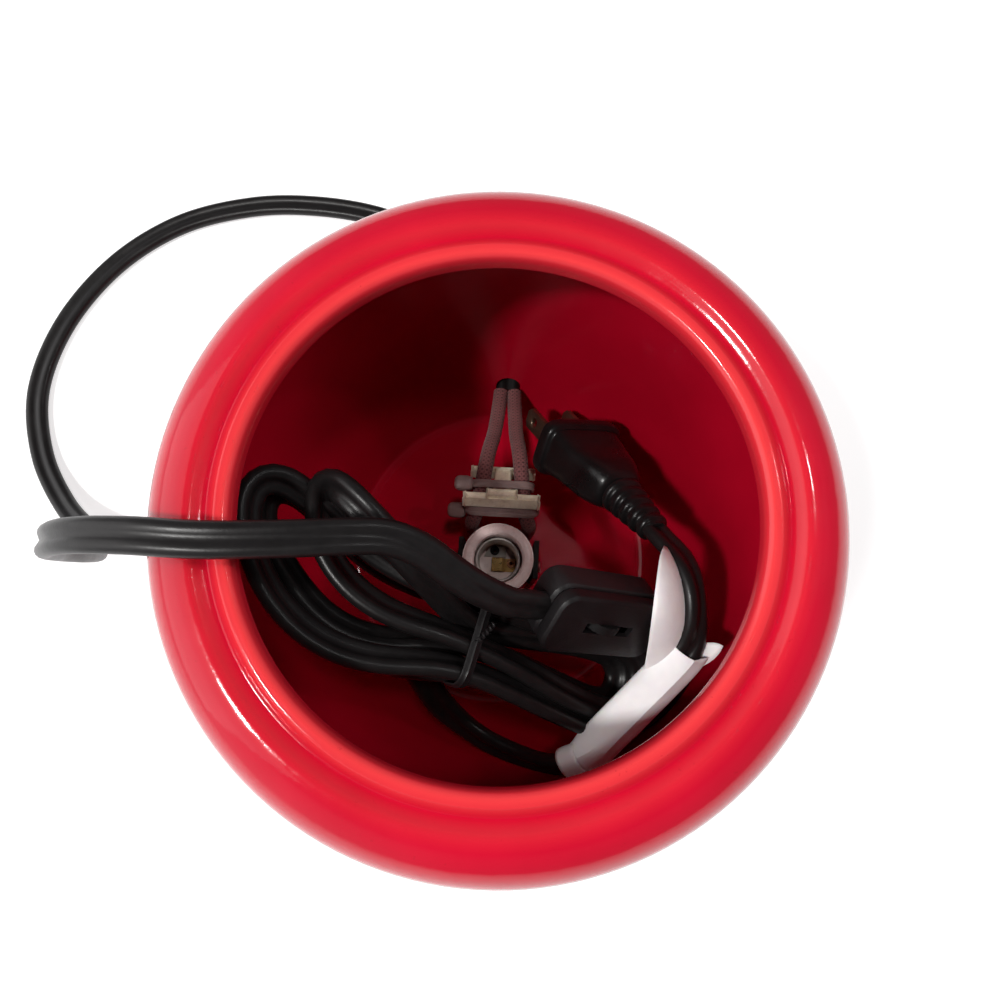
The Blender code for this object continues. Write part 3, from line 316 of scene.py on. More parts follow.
def cordPaint():
    paint = Paint("cordJacket")
    streak = paint.noise(1.0, 3, 0.6, (0.25, 9, 1), "UV")
    colour = paint.ramp(streak, [(0.25, (0.0058, 0.0050, 0.0052)), (0.75, (0.0105, 0.0092, 0.0095))])
    dust = paint.ramp(paint.noise(2600, 2, 0.5), [(0.72, 0.0), (0.80, 1.0)])
    colour = paint.tint(colour, dust, 0.35, (0.060, 0.050, 0.050))
    rough = paint.between(paint.noise(120, 4, 0.6), 0.30, 0.42)
    fine = paint.bump(paint.noise(1500, 3), 0.12, 0.0002)
    lines = paint.bump(streak, 0.10, 0.0003, fine)
    return paint.finish(Base_Color=colour, Roughness=rough, Normal=lines, Specular_IOR_Level=0.32)


def mouldedPaint(name, dark, light, rough, grain, gloss=0.5):
    paint = Paint(name)
    cloud = paint.noise(90, 4, 0.6)
    grainy = paint.noise(grain, 2, 0.6)
    colour = paint.between(cloud, dark, light)
    edge = paint.node("ShaderNodeNewGeometry").outputs["Pointiness"]
    worn = paint.ramp(edge, [(0.53, 0.0), (0.60, 1.0)])
    brighter = tuple(min(1.0, 2.0 * c + 0.006) for c in light)
    colour = paint.tint(colour, worn, 0.5, brighter)
    return paint.finish(Base_Color=colour, Roughness=paint.between(cloud, rough - 0.06, rough + 0.08),
                        Normal=paint.bump(grainy, 0.30, 0.00015), Specular_IOR_Level=gloss)


def porcelainPaint():
    paint = Paint("porcelain")
    speck = paint.ramp(paint.noise(2200, 2), [(0.70, 0.0), (0.78, 1.0)])
    # The pink in the porcelain's colour is a painted reflection of the red glaze round it.
    colour = paint.between(paint.noise(150, 4, 0.6), (0.60, 0.46, 0.45), (0.70, 0.56, 0.54))
    colour = paint.tint(colour, speck, 0.4, (0.42, 0.30, 0.26))
    rough = paint.between(paint.noise(600, 3), 0.22, 0.42)
    grain = paint.bump(paint.noise(900, 3), 0.15, 0.0003)
    return paint.finish(Base_Color=colour, Roughness=rough, Normal=grain,
                        Subsurface_Weight=0.12, Subsurface_Scale=0.001, Subsurface_Radius=(1.0, 0.7, 0.6))


def metalPaint(name, dark, light, rough, metallic=1.0):
    paint = Paint(name)
    brushed = paint.noise(700, 5, 0.65, (1, 1, 8))
    colour = paint.between(paint.noise(220, 4, 0.6), dark, light)
    return paint.finish(Base_Color=colour, Roughness=paint.between(brushed, rough - 0.08, rough + 0.12),
                        Metallic=metallic, Normal=paint.bump(brushed, 0.12, 0.0001))


def braidPaint():
    # Two sets of strands that cross, seen as their higher one, with ribs along the sleeve.
    paint = Paint("braidedSleeve")
    along, around = paint.axes("UV")[:2]
    turns = paint.maths("MULTIPLY", around, 10.0)
    rise = paint.maths("MULTIPLY", along, 0.85)
    waves = []
    for kind in ("ADD", "SUBTRACT"):
        angle = paint.maths("MULTIPLY", paint.maths(kind, rise, turns), 2 * math.pi)
        waves.append(paint.maths("SINE", angle))
    ribs = paint.maths("SINE", paint.maths("MULTIPLY", along, 2 * math.pi * 0.85))
    height = paint.maths("ADD", paint.maths("MAXIMUM", *waves), paint.maths("MULTIPLY", ribs, 0.45))
    low = paint.maths("MULTIPLY_ADD", height, 0.35, 0.5)
    fibre = paint.noise(1.0, 4, 0.6, (3.0, 60, 1), "UV")
    height = paint.maths("ADD", low, paint.maths("MULTIPLY", fibre, 0.5))
    pale = paint.between(paint.noise(160, 3), (0.165, 0.054, 0.055), (0.215, 0.076, 0.075))
    # The low places between the strands are painted darker, as painted shade.
    colour = paint.mix(paint.ramp(low, [(0.20, 0.0), (0.80, 1.0)]), (0.055, 0.016, 0.017), pale)
    return paint.finish(Base_Color=colour, Roughness=0.82, Normal=paint.bump(height, 0.7, 0.00025),
                        Sheen_Weight=0.15)


def nylonPaint():
    paint = Paint("naturalNylon")
    colour = paint.between(paint.noise(260, 4), (0.185, 0.120, 0.115), (0.26, 0.180, 0.170))
    rough = paint.between(paint.noise(900, 3), 0.34, 0.5)
    grain = paint.bump(paint.noise(1200, 3), 0.12, 0.0002)
    return paint.finish(Base_Color=colour, Roughness=rough, Normal=grain,
                        Subsurface_Weight=0.3, Subsurface_Scale=0.0015, Subsurface_Radius=(1.0, 0.7, 0.6))


def creamPaint():
    paint = Paint("creamPlastic")
    cloud = paint.noise(130, 5, 0.65)
    stain = paint.ramp(paint.noise(420, 4, 0.7), [(0.45, 0.0), (0.75, 1.0)])
    colour = paint.between(cloud, (0.74, 0.63, 0.48), (0.88, 0.79, 0.64))
    colour = paint.tint(colour, stain, 0.45, (0.36, 0.23, 0.15))
    grain = paint.bump(paint.noise(1500, 3), 0.2, 0.0002)
    return paint.finish(Base_Color=colour, Roughness=paint.between(cloud, 0.36, 0.52), Normal=grain,
                        Subsurface_Weight=0.15, Subsurface_Scale=0.001, Subsurface_Radius=(1.0, 0.8, 0.5))


def paperPaint():
    paint = Paint("coatedPaper")
    fibre = paint.noise(1800, 5, 0.7, (1, 1, 3))
    colour = paint.between(paint.noise(110, 3), (0.84, 0.80, 0.82), (0.92, 0.89, 0.90))
    crease = paint.bump(paint.noise(170, 4, 0.6), 0.25, 0.0008)
    return paint.finish(Base_Color=colour, Roughness=paint.between(fibre, 0.42, 0.62),
                        Normal=paint.bump(fibre, 0.10, 0.0001, crease),
                        Subsurface_Weight=0.1, Subsurface_Scale=0.0006)


glaze = glazePaint()
jacket = cordPaint()
mouldedBlack = mouldedPaint("mouldedBlack", (0.0050, 0.0042, 0.0045), (0.0085, 0.0072, 0.0078),
                            0.42, 1900, 0.30)
softBlack = mouldedPaint("softBlack", (0.0045, 0.0038, 0.0040), (0.0080, 0.0068, 0.0072), 0.30, 1400, 0.34)
wheelBlack = mouldedPaint("wheelBlack", (0.0032, 0.0028, 0.0030), (0.0052, 0.0046, 0.0048), 0.55, 1700, 0.20)
rubberBlack = mouldedPaint("rubberBlack", (0.014, 0.014, 0.014), (0.024, 0.023, 0.023), 0.75, 1600)
blackSteel = mouldedPaint("blackSteel", (0.0060, 0.0052, 0.0052), (0.011, 0.0098, 0.0098), 0.40, 1100, 0.26)
porcelain = porcelainPaint()
zinc = metalPaint("zincPlate", (0.46, 0.46, 0.44), (0.64, 0.63, 0.60), 0.34)
nickel = metalPaint("nickelSheet", (0.56, 0.51, 0.48), (0.72, 0.67, 0.63), 0.42, 0.70)
brass = metalPaint("brassSheet", (0.66, 0.39, 0.13), (0.84, 0.54, 0.22), 0.30, 0.65)
# A darker, duller brass for the plug's blades.
darkBrass = metalPaint("dullBrass", (0.20, 0.15, 0.10), (0.30, 0.24, 0.17), 0.42)
copper = metalPaint("copperWire", (0.50, 0.24, 0.13), (0.68, 0.36, 0.22), 0.30)
brightCopper = metalPaint("brightCopper", (0.72, 0.34, 0.17), (0.86, 0.46, 0.25), 0.26, 0.75)
fibreWasher = mouldedPaint("pressedFibre", (0.22, 0.060, 0.030), (0.34, 0.110, 0.060), 0.78, 900)
braid = braidPaint()
nylon = nylonPaint()
cream = creamPaint()
paper = paperPaint()
print("materials made,", len(bpy.data.materials))


# Camera

cameraView = {"at": (0.00155, -0.02142, 0.25537), "tilt": 9.22, "turn": 3.2, "lens": 27.07, "sensor": 36.0,
              "near": 0.005}
cameraData = bpy.data.cameras.new("photoCamera")
cameraData.lens = cameraView["lens"]
cameraData.sensor_width = cameraView["sensor"]
cameraData.clip_start = cameraView["near"]
camera = addToScene("photoCamera", cameraData)
camera.location = cameraView["at"]
camera.rotation_euler = (math.radians(cameraView["tilt"]), 0.0, math.radians(cameraView["turn"]))
bpy.context.scene.camera = camera


# Cord: one flat twin lead from the pot's hole, through the switch, the hank and the plug

cordSize = {"width": 0.0073, "thickness": 0.0036, "groove": 0.62, "tube": 0.0024, "gap": 0.0003,
            "rest": 0.0001, "step": 0.0020, "blur": 0.010, "easeWidth": 2, "easeRounds": 3, "fixedStart": 4,
            "fixedEnd": 8}
switchFrame = {"at": (0.0236, -0.0180, 0.0805), "axis": (0.850, -0.040, -0.525),
               "across": (0.373, 0.749, 0.547), "length": 0.031, "leadIn": (0.009, 0.005), "tuck": 0.0047,
               "squareIn": 0.022, "squareOut": 0.012}
plugFrame = {"at": (0.0202, 0.0315, 0.0390), "axis": (0.438, -0.638, 0.634), "across": (0.874, 0.134, -0.468),
             "flange": 0.0046, "grip": 0.0215, "relief": 0.0180, "tuck": 0.004, "square": 0.020}
hankShape = {"waist": (-0.0056, -0.0232, 0.0770), "axis": (0.0994, -0.0284, -0.0430), "loops": 3,
             "points": 24, "left": 0.056, "right": 0.058, "sag": 0.008, "waistHalf": 0.0110,
             "leftHalf": 0.0185, "spread": 0.62, "rightHalves": (0.0125, 0.0085, 0.0065, 0.0125),
             "step": 0.0060, "swing": 0.2, "layer": 0.0032, "enters": 3, "leaves": 7, "unwind": 0.0090,
             "unwindFrom": 0.003, "unwindIn": 0.0006, "unwindSteps": 6}
hankLean = {"arms": 34, "waist": 26, "waistReach": 0.016, "wall": 8, "wallFrom": 0.030, "wallReach": 0.015}
tailLean = {"side": 1.1, "labelKnots": (4, 9), "before": 0.001, "after": 0.002}
flatKnots = slice(6, 15)  # the knots of the outer route that lie on the table
outerRoute = [
    (0.0, 0.0512, 0.0248), (0.0, 0.0570, 0.0248), (0.0, 0.0650, 0.0247), (-0.0015, 0.0760, 0.0215),
    (-0.0060, 0.0880, 0.0140), (-0.0145, 0.1010, 0.0066), (-0.0280, 0.1124, 0.0032),
    (-0.0500, 0.1213, 0.0027), (-0.0740, 0.1243, 0.0027), (-0.0975, 0.1225, 0.0027),
    (-0.1220, 0.1143, 0.0027), (-0.1430, 0.0980, 0.0027), (-0.1580, 0.0750, 0.0027),
    (-0.1640, 0.0500, 0.0027), (-0.1590, 0.0270, 0.0032), (-0.1460, 0.0090, 0.0062),
    (-0.1290, -0.0020, 0.0165), (-0.1160, -0.0065, 0.0350), (-0.1085, -0.0085, 0.0570),
    (-0.1030, -0.0095, 0.0790), (-0.0945, -0.0100, 0.0985), (-0.0825, -0.0096, 0.1112),
    (-0.0690, -0.0094, 0.1163), (-0.0546, -0.0095, 0.1172), (-0.0400, -0.0083, 0.1152),
    (-0.0285, -0.0069, 0.1124), (-0.0212, -0.0064, 0.1095), (-0.0148, -0.0082, 0.1058),
    (-0.0095, -0.0114, 0.1018), (-0.0040, -0.0145, 0.0978),
]
leadIn = [
    (0.0462, -0.0192, 0.0655), (0.0492, -0.0245, 0.0605), (0.0485, -0.0315, 0.0570),
    (0.0444, -0.0384, 0.0558), (0.0374, -0.0437, 0.0582),
]
leadOut = [(-0.0185, -0.0355, 0.0580), (-0.0150, -0.0402, 0.0545)]
# The left ends of the three loops: two lie along the wall, the middle one stands up as a short stub.
leftLobes = [
    [
        (-0.0147, -0.0312, 0.0835), (-0.0233, -0.0311, 0.0862), (-0.0317, -0.0297, 0.0888),
        (-0.0398, -0.0258, 0.0912), (-0.0462, -0.0199, 0.0935), (-0.0507, -0.0126, 0.0952),
        (-0.0532, -0.0051, 0.0965), (-0.0541, 0.0006, 0.0970), (-0.0533, 0.0050, 0.0965),
        (-0.0506, 0.0075, 0.0950), (-0.0470, 0.0068, 0.0928), (-0.0424, 0.0035, 0.0895),
        (-0.0373, -0.0006, 0.0855), (-0.0313, -0.0052, 0.0820), (-0.0224, -0.0103, 0.0800),
        (-0.0124, -0.0144, 0.0792),
    ],
    [
        (-0.0119, -0.0239, 0.0832), (-0.0204, -0.0217, 0.0850), (-0.0281, -0.0182, 0.0864),
        (-0.0344, -0.0131, 0.0872), (-0.0387, -0.0071, 0.0876), (-0.0407, -0.0011, 0.0880),
        (-0.0406, 0.0032, 0.0892), (-0.0394, 0.0058, 0.0917), (-0.0377, 0.0067, 0.0947),
        (-0.0355, 0.0061, 0.0974), (-0.0326, 0.0040, 0.0991), (-0.0291, 0.0007, 0.0995),
        (-0.0242, -0.0038, 0.0975), (-0.0189, -0.0092, 0.0940), (-0.0140, -0.0144, 0.0890),
        (-0.0095, -0.0189, 0.0835),
    ],
    [
        (-0.0156, -0.0265, 0.0775), (-0.0234, -0.0271, 0.0800), (-0.0318, -0.0255, 0.0825),
        (-0.0389, -0.0215, 0.0848), (-0.0444, -0.0154, 0.0868), (-0.0489, -0.0092, 0.0880),
        (-0.0522, -0.0041, 0.0886), (-0.0536, 0.0008, 0.0886), (-0.0527, 0.0051, 0.0878),
        (-0.0498, 0.0070, 0.0860), (-0.0459, 0.0053, 0.0835), (-0.0410, 0.0011, 0.0800),
        (-0.0357, -0.0039, 0.0770), (-0.0285, -0.0091, 0.0748), (-0.0201, -0.0131, 0.0738),
        (-0.0120, -0.0155, 0.0734),
    ],
]
tailRoute = [
    (-0.0095, -0.0465, 0.0500), (-0.0010, -0.0525, 0.0480), (0.0095, -0.0556, 0.0515),
    (0.0177, -0.0560, 0.0594), (0.0206, -0.0548, 0.0628), (0.0235, -0.0530, 0.0652),
    (0.0294, -0.0460, 0.0674), (0.0354, -0.0390, 0.0697), (0.0413, -0.0320, 0.0719),
    (0.0472, -0.0249, 0.0742), (0.0475, -0.0207, 0.0758), (0.0473, -0.0165, 0.0772),
    (0.0467, -0.0119, 0.0782), (0.0455, -0.0071, 0.0780),
]

switchAlong = unit(switchFrame["axis"])
switchAbove = unit(np.cross(switchAlong, switchFrame["across"]))
switchAt = np.array(switchFrame["at"])
plugAlong = unit(plugFrame["axis"])
plugAbove = unit(np.cross(plugAlong, plugFrame["across"]))
plugAcross = np.cross(plugAbove, plugAlong)
plugAt = np.array(plugFrame["at"])
hankAlong = unit(hankShape["axis"])
hankAcross = unit(np.array((0.0, 1.0, 0.0)) - hankAlong * hankAlong[1])
hankAbove = np.cross(hankAlong, hankAcross)
upward = np.array((0.0, 0.0, 1.0))


def twinSection():
    # Two round cores side by side, with a shallow groove between them on both faces.
    radius = cordSize["thickness"] / 2
    offset = cordSize["width"] / 2 - radius
    section = []
    for centre, start in ((offset, -125), (-offset, 55)):
        for step in range(11):
            angle = math.radians(start + 25 * step)
            section.append((centre + radius * math.cos(angle), radius * math.sin(angle)))
        section.append((0.0, math.copysign(radius * cordSize["groove"], centre)))
    return section


def stepsIn(length):
    return round(length / cordSize["step"])


def sweptCord(name, path, wished):
    tangents = tangentsOf(path)
    normals = squareTo(tangents, blurred(squareTo(tangents, wished), stepsIn(cordSize["blur"])))
    return swept(name, path, normals, twinSection(), jacket)


def hankPoint(along, across, above):
    sag = hankShape["sag"] * (max(0.0, along) / hankShape["right"]) ** 2
    return (np.array(hankShape["waist"]) + hankAlong * along + hankAcross * across
            + hankAbove * (above - sag))


def hankHalf(along):
    p = hankShape
    spread = min(1.0, abs(along) / (p["spread"] * p["left"]))
    return p["waistHalf"] + (p["leftHalf"] - p["waistHalf"]) * (0.5 - 0.5 * math.cos(math.pi * spread))


def loopPoint(turns):
    # The right half of a loop: two arms from the waist to a round fold, each loop with its own radius.
    p = hankShape
    start = p["loops"] / 2
    climb = clamped((turns - start) / 0.5)
    inward = min(min(turns, 2 * start + 0.5 - turns), start) + p["swing"] * math.sin(math.pi * climb)
    fold = round(turns)
    bend = 4 * abs(turns - fold)
    radius = p["rightHalves"][fold]
    arm = p["right"] - inward * p["step"] - radius
    if bend <= 0.5:
        along = arm + radius * math.cos(math.pi * bend)
        across = radius * math.sin(math.pi * bend)
    else:
        waist = p["waistHalf"] - inward * p["step"]
        along = arm * 2 * (1 - bend)
        across = waist + (radius - waist) * (0.5 - 0.5 * math.cos(2 * math.pi * (1 - bend)))
    if turns > fold:
        across = -across
    return hankPoint(along, across, p["layer"] * math.cos(math.pi * climb))


def leadRoute():
    # From the switch's right end through the hank and along the tail to the plug.
    p = hankShape
    gap = cordSize["gap"]
    straight = 2 * cordSize["tube"]
    half = switchFrame["length"] / 2
    reaches = half - switchFrame["tuck"], half + gap, half + straight
    route = [switchAt + switchAlong * reach for reach in reaches]
    route += [np.array(point) for point in leadIn]
    first = len(route)
    count = p["points"]
    for step in range(p["enters"], p["loops"] * count + p["leaves"]):
        turn, place = divmod(step, count)
        if place == count // 4 + 1:
            route += [np.array(point) for point in leftLobes[turn]]
        if not count / 4 < place < 3 * count / 4:
            route.append(loopPoint(step / count))
    last = len(route)
    # The last loop drops half a turn under the hank before the tail leaves it.
    for step in range(1, p["unwindSteps"] + 1):
        angle = math.pi * step / p["unwindSteps"]
        along = -p["unwindFrom"] - p["unwind"] * math.sin(angle)
        across = p["unwindIn"] - hankHalf(along)
        route.append(hankPoint(along, across, p["unwind"] * (math.cos(angle) - 1) - p["layer"]))
    route += [np.array(point) for point in leadOut]
    tail = [np.array(point) for point in tailRoute]
    route += [tail[0] - unit(tail[1] - tail[0]) * straight] + tail
    stern = plugAt + plugAlong * (plugFrame["flange"] + plugFrame["grip"] + plugFrame["relief"] + gap)
    route += [stern + plugAlong * reach for reach in (2 * straight, straight, -plugFrame["tuck"])]
    return route, first, last


def eased(path):
    # A stiff lead takes no sharp corner, so the line is relaxed between its ends.
    start, end = cordSize["fixedStart"], cordSize["fixedEnd"]
    ends = path[:start].copy(), path[-end:].copy()
    for turn in range(cordSize["easeRounds"]):
        path = blurred(path, cordSize["easeWidth"])
        path[:start], path[-end:] = ends
    return path


# The part on the table lies on its flat side, so its middle is lower than the round stand-in's.
flatDrop = cordSize["tube"] + cordSize["gap"] - cordSize["thickness"] / 2 - cordSize["rest"]
outerKnots = [np.array(point) for point in outerRoute]
for knot in outerKnots[flatKnots]:
    knot[2] -= flatDrop
for reach in (*switchFrame["leadIn"], -switchFrame["tuck"]):
    outerKnots.append(switchAt - switchAlong * (switchFrame["length"] / 2 + reach))
outerPath = smoothLine(outerKnots, cordSize["step"])
outerWish = np.tile(upward, (len(outerPath), 1))
outerWish[-stepsIn(switchFrame["squareIn"]):] = switchAbove
outerCord = sweptCord("outerCord", outerPath, outerWish)
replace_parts(outerCord, "cord_outer_run")

route, firstLoop, lastLoop = leadRoute()
leadPath = eased(smoothLine(route, cordSize["step"]))
leadAlong = arcLength(leadPath)
tailStart = np.argmin(np.linalg.norm(leadPath - np.array(tailRoute[0]), axis=1))
tailShown = leadPath[tailStart:]
tailAlong = leadAlong[tailStart:] - leadAlong[tailStart]
labelStart, labelEnd = [tailAlong[np.argmin(np.linalg.norm(tailShown - np.array(tailRoute[knot]), axis=1))]
                        for knot in tailLean["labelKnots"]]


def leadWish():
    # The way the flat side faces: leaning outward in the loops, square to the switch and the plug.
    p = hankLean
    wished = np.tile(upward, (len(leadPath), 1))
    tangents = tangentsOf(leadPath)
    routeAlong = arcLength(np.array(route))
    routeAlong = routeAlong * leadAlong[-1] / routeAlong[-1]
    inLoops = (leadAlong > routeAlong[firstLoop]) & (leadAlong < routeAlong[lastLoop - 1])
    for index in np.nonzero(inLoops)[0]:
        along = (leadPath[index] - np.array(hankShape["waist"])) @ hankAlong
        outward = np.cross(tangents[index], hankAbove)
        turned = clamped((-along - p["wallFrom"]) / p["wallReach"])
        near = math.exp(-(along / p["waistReach"]) ** 2)
        lean = math.radians(p["arms"] + p["waist"] * near + p["wall"] * turned)
        wished[index] = hankAbove * math.cos(lean) + outward * math.sin(lean)
    wished[:stepsIn(switchFrame["squareOut"])] = switchAbove
    # The tail lies flat inside its label and on its edge before and after it.
    for index, along in enumerate(tailAlong, tailStart):
        if not labelStart + tailLean["before"] < along < labelEnd + tailLean["after"]:
            wished[index] = upward + tailLean["side"] * unit(np.cross(tangents[index], upward))
    wished[-stepsIn(plugFrame["square"]):] = plugAbove
    return wished


leadCord = sweptCord("leadCord", leadPath, leadWish())
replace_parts(leadCord, "cord_hank", "cord_tail")


# Pot

potShape = {"rim": 0.112, "lip": 0.052, "lipWidth": 0.0044, "lipDepth": 0.0060, "seat": 0.0007,
            "groove": 0.0571, "grooveDepth": 0.0017, "ridge": 0.0603, "shoulder": 0.073, "drop": 0.016,
            "wall": 0.0058, "base": 0.0525, "baseRound": 0.004, "foot": 0.002, "recess": 0.0035,
            "floor": 0.0065, "ring": 0.009, "pull": 0.032, "waist": 0.061, "waistHeight": 0.026,
            "rise": 0.004, "soft": 0.001, "underRing": 0.020, "floorRings": (0.030, 0.012), "segments": 144,
            "hole": 0.0039, "holeHeight": 0.026, "holeRun": (0.040, 0.080), "lampY": -0.004, "bolt": 0.0018,
            "boltRun": (0.0, 0.020), "holeSides": 40, "edgeLimit": 0.6, "shadeFrom": 0.004, "shadeDepth": 0.055,
            "shadePower": 0.7}


def bezier(start, first, second, end, steps):
    points = []
    for step in range(steps + 1):
        t = step / steps
        s = 1 - t
        points.append(tuple(s ** 3 * a + 3 * s * s * t * b + 3 * s * t * t * c + t ** 3 * d
                            for a, b, c, d in zip(start, first, second, end)))
    return points


def arc(centre, halfX, halfY, start, end, steps):
    points = []
    for step in range(steps + 1):
        angle = math.radians(start + (end - start) * step / steps)
        points.append((centre[0] + halfX * math.cos(angle), centre[1] + halfY * math.sin(angle)))
    return points


def potProfile():
    # From the middle of the underside, up the outside, over the lip and down the inside to the floor.
    p = potShape
    soft, rim, lip, groove, ridge = p["soft"], p["rim"], p["lip"], p["groove"], p["ridge"]
    widest = rim - p["drop"]
    lipRound = p["lipWidth"] / 2
    crest = lip + lipRound
    baseRound = p["baseRound"]
    ringInner = p["base"] - p["ring"]
    recessTop = p["foot"] + p["recess"]
    underLip = rim - p["lipDepth"]
    innerWidest = p["shoulder"] - p["wall"]
    floorEdge = p["base"] - p["wall"]
    floorTop = recessTop + p["floor"]
    deep = p["grooveDepth"]
    profile = [(0.0, recessTop), (p["underRing"], recessTop), (ringInner - 2 * soft, recessTop),
               (ringInner - soft, recessTop), (ringInner - 0.5 * soft, p["foot"] + 1.7 * soft),
               (ringInner, p["foot"])]
    profile += arc((p["base"] - baseRound, p["foot"] + baseRound), baseRound, baseRound, -90, -15, 8)
    profile += bezier((p["base"], p["foot"] + baseRound), (p["waist"], p["waistHeight"]),
                      (p["shoulder"], widest - p["pull"]), (p["shoulder"], widest), 30)[1:]
    profile += arc((ridge, widest), p["shoulder"] - ridge, p["drop"], 4, 86, 20)
    profile += [(ridge, rim - 0.05 * soft), (ridge - 0.8 * soft, rim - 0.4 * soft),
                ((groove + ridge) / 2, rim - deep * 0.6), (groove + 0.6 * soft, rim - deep * 0.93),
                (groove, rim - deep), (groove - 0.5 * soft, rim - deep * 0.85)]
    profile += [(crest + lipRound * out, rim - lipRound * down) for out, down in ((0.75, 0.34), (0.45, 0.09))]
    profile += [(crest + p["seat"], rim), (crest, rim), (crest - p["seat"], rim)]
    profile += [(crest - lipRound * out, rim - lipRound * down) for out, down in ((0.62, 0.16), (0.86, 0.42))]
    profile += [(lip, rim - lipRound), (lip, rim - lipRound * 1.6), (lip, underLip + soft),
                (lip + 0.3 * soft, underLip + 0.4 * soft), (lip + soft, underLip)]
    profile += arc((ridge, widest), innerWidest - ridge, p["drop"] - p["wall"] - soft, 80, 3, 16)
    profile += bezier((innerWidest, widest), (innerWidest, widest - p["pull"] + p["rise"]),
                      (p["waist"] - p["wall"], p["waistHeight"] + p["rise"]),
                      (floorEdge, floorTop + soft), 30)
    profile += [(floorEdge - soft, floorTop + 0.5 * soft), (floorEdge - 2.2 * soft, floorTop + 0.1 * soft),
                (floorEdge - 3.5 * soft, floorTop)]
    profile += [(radius, floorTop) for radius in (*p["floorRings"], 0.0)]
    # The corners are cut twice, which leaves the outline round.
    for turn in range(2):
        softened = [profile[0]]
        for (ax, az), (bx, bz) in zip(profile, profile[1:]):
            softened.append((0.75 * ax + 0.25 * bx, 0.75 * az + 0.25 * bz))
            softened.append((0.25 * ax + 0.75 * bx, 0.25 * az + 0.75 * bz))
        softened.append(profile[-1])
        profile = softened
    return profile


def turnedPiece(name, profile, segments, material):
    points = []
    rings = []
    for radius, height in profile:
        if radius < 1e-7:
            rings.append([len(points)] * segments)
            points.append((0.0, 0.0, height))
            continue
        rings.append(list(range(len(points), len(points) + segments)))
        for step in range(segments):
            angle = 2 * math.pi * step / segments
            points.append((radius * math.cos(angle), radius * math.sin(angle), height))
    faces = []
    for lower, upper in zip(rings, rings[1:]):
        for step in range(segments):
            after = (step + 1) % segments
            face = list(dict.fromkeys([lower[step], lower[after], upper[after], upper[step]]))
            if len(face) > 2:
                faces.append(face)
    return newPiece(name, points, faces, material, 50)


def cutRound(piece, radius, start, end):
    # A round hole along a straight line, cut and applied.
    start, end = Vector(start), Vector(end)
    cutter = addToScene("cutter", bpy.data.meshes.new("cutter"))
    shape = bmesh.new()
    bmesh.ops.create_cone(shape, cap_ends=True, segments=potShape["holeSides"], radius1=radius,
                          radius2=radius, depth=(end - start).length)
    turn = (end - start).to_track_quat("Z", "Y").to_matrix().to_4x4()
    shape.transform(Matrix.Translation((start + end) / 2) @ turn)
    shape.to_mesh(cutter.data)
    shape.free()
    change = piece.modifiers.new("cut", "BOOLEAN")
    change.operation = "DIFFERENCE"
    change.solver = "EXACT"
    change.object = cutter
    graph = bpy.context.evaluated_depsgraph_get()
    made = bpy.data.meshes.new_from_object(piece.evaluated_get(graph))
    piece.modifiers.clear()
    piece.data = made
    bpy.data.objects.remove(cutter)


def turnedNormals(piece, profile):
    # The turned surface keeps its own normals round the holes cut in it.
    line = np.array(profile)
    step = np.diff(line, axis=0)
    size = np.maximum(np.linalg.norm(step, axis=1), 1e-9)
    flat = np.stack([step[:, 1], -step[:, 0]], axis=1) / size[:, None]
    corner = unitRows(np.vstack([flat[:1], flat[:-1] + flat[1:], flat[-1:]]))
    points = np.array([vert.co for vert in piece.data.vertices])
    found = np.zeros((len(points), 3))
    for index, point in enumerate(points):
        radius = np.hypot(point[0], point[1])
        away = np.array((radius, point[2])) - line[:-1]
        share = np.clip(np.sum(away * step, axis=1) / size ** 2, 0, 1)
        near = np.argmin(np.sum((away - share[:, None] * step) ** 2, axis=1))
        normal = corner[near] * (1 - share[near]) + corner[near + 1] * share[near]
        outward = point[:2] / max(radius, 1e-9)
        found[index] = (normal[0] * outward[0], normal[0] * outward[1], normal[1])
    found = unitRows(found)
    normals = []
    for face in piece.data.polygons:
        for vert in face.vertices:
            normal = Vector(found[vert])
            normals.append(normal if normal.dot(face.normal) > potShape["edgeLimit"] else face.normal)
    piece.data.normals_split_custom_set(normals)


def markInsideShade(piece, profile):
    # How far down the inside a point is, from none at the lip to all at the floor, which sets the painted
    # shade.
    p = potShape
    depth = piece.data.attributes.new("insideShade", "FLOAT", "POINT")
    outline = [point for point in profile if point[0] > p["base"] - p["ring"]]
    top = max(range(len(outline)), key=lambda index: outline[index][1])
    outside = sorted((height, radius) for radius, height in outline[:top])
    heights, radii = zip(*outside)
    lowest = p["foot"] + p["recess"] + p["floor"] - p["soft"]
    for vert in piece.data.vertices:
        reach = math.hypot(vert.co.x, vert.co.y)
        within = reach < np.interp(vert.co.z, heights, radii) - p["wall"] / 2
        if within and vert.co.z > lowest:
            drop = (p["rim"] - p["shadeFrom"] - vert.co.z) / p["shadeDepth"]
            depth.data[vert.index].value = clamped(drop) ** p["shadePower"]


potLine = potProfile()
pot = turnedPiece("pot", potLine, potShape["segments"], glaze)
cutRound(pot, potShape["hole"], *[(0.0, y, potShape["holeHeight"]) for y in potShape["holeRun"]])
cutRound(pot, potShape["bolt"], *[(0.0, potShape["lampY"], z) for z in potShape["boltRun"]])
pot.data.shade_smooth()
turnedNormals(pot, potLine)
markInsideShade(pot, potLine)
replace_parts(pot, "ceramic_body")
for index in range(1, 5):
    refined("foot_pad_%d" % index, rubberBlack, 0.0002, "rubber")
print("pot turned")


# Lamp holder and its fixings: each node's finish, the width of its broken edges and its slot

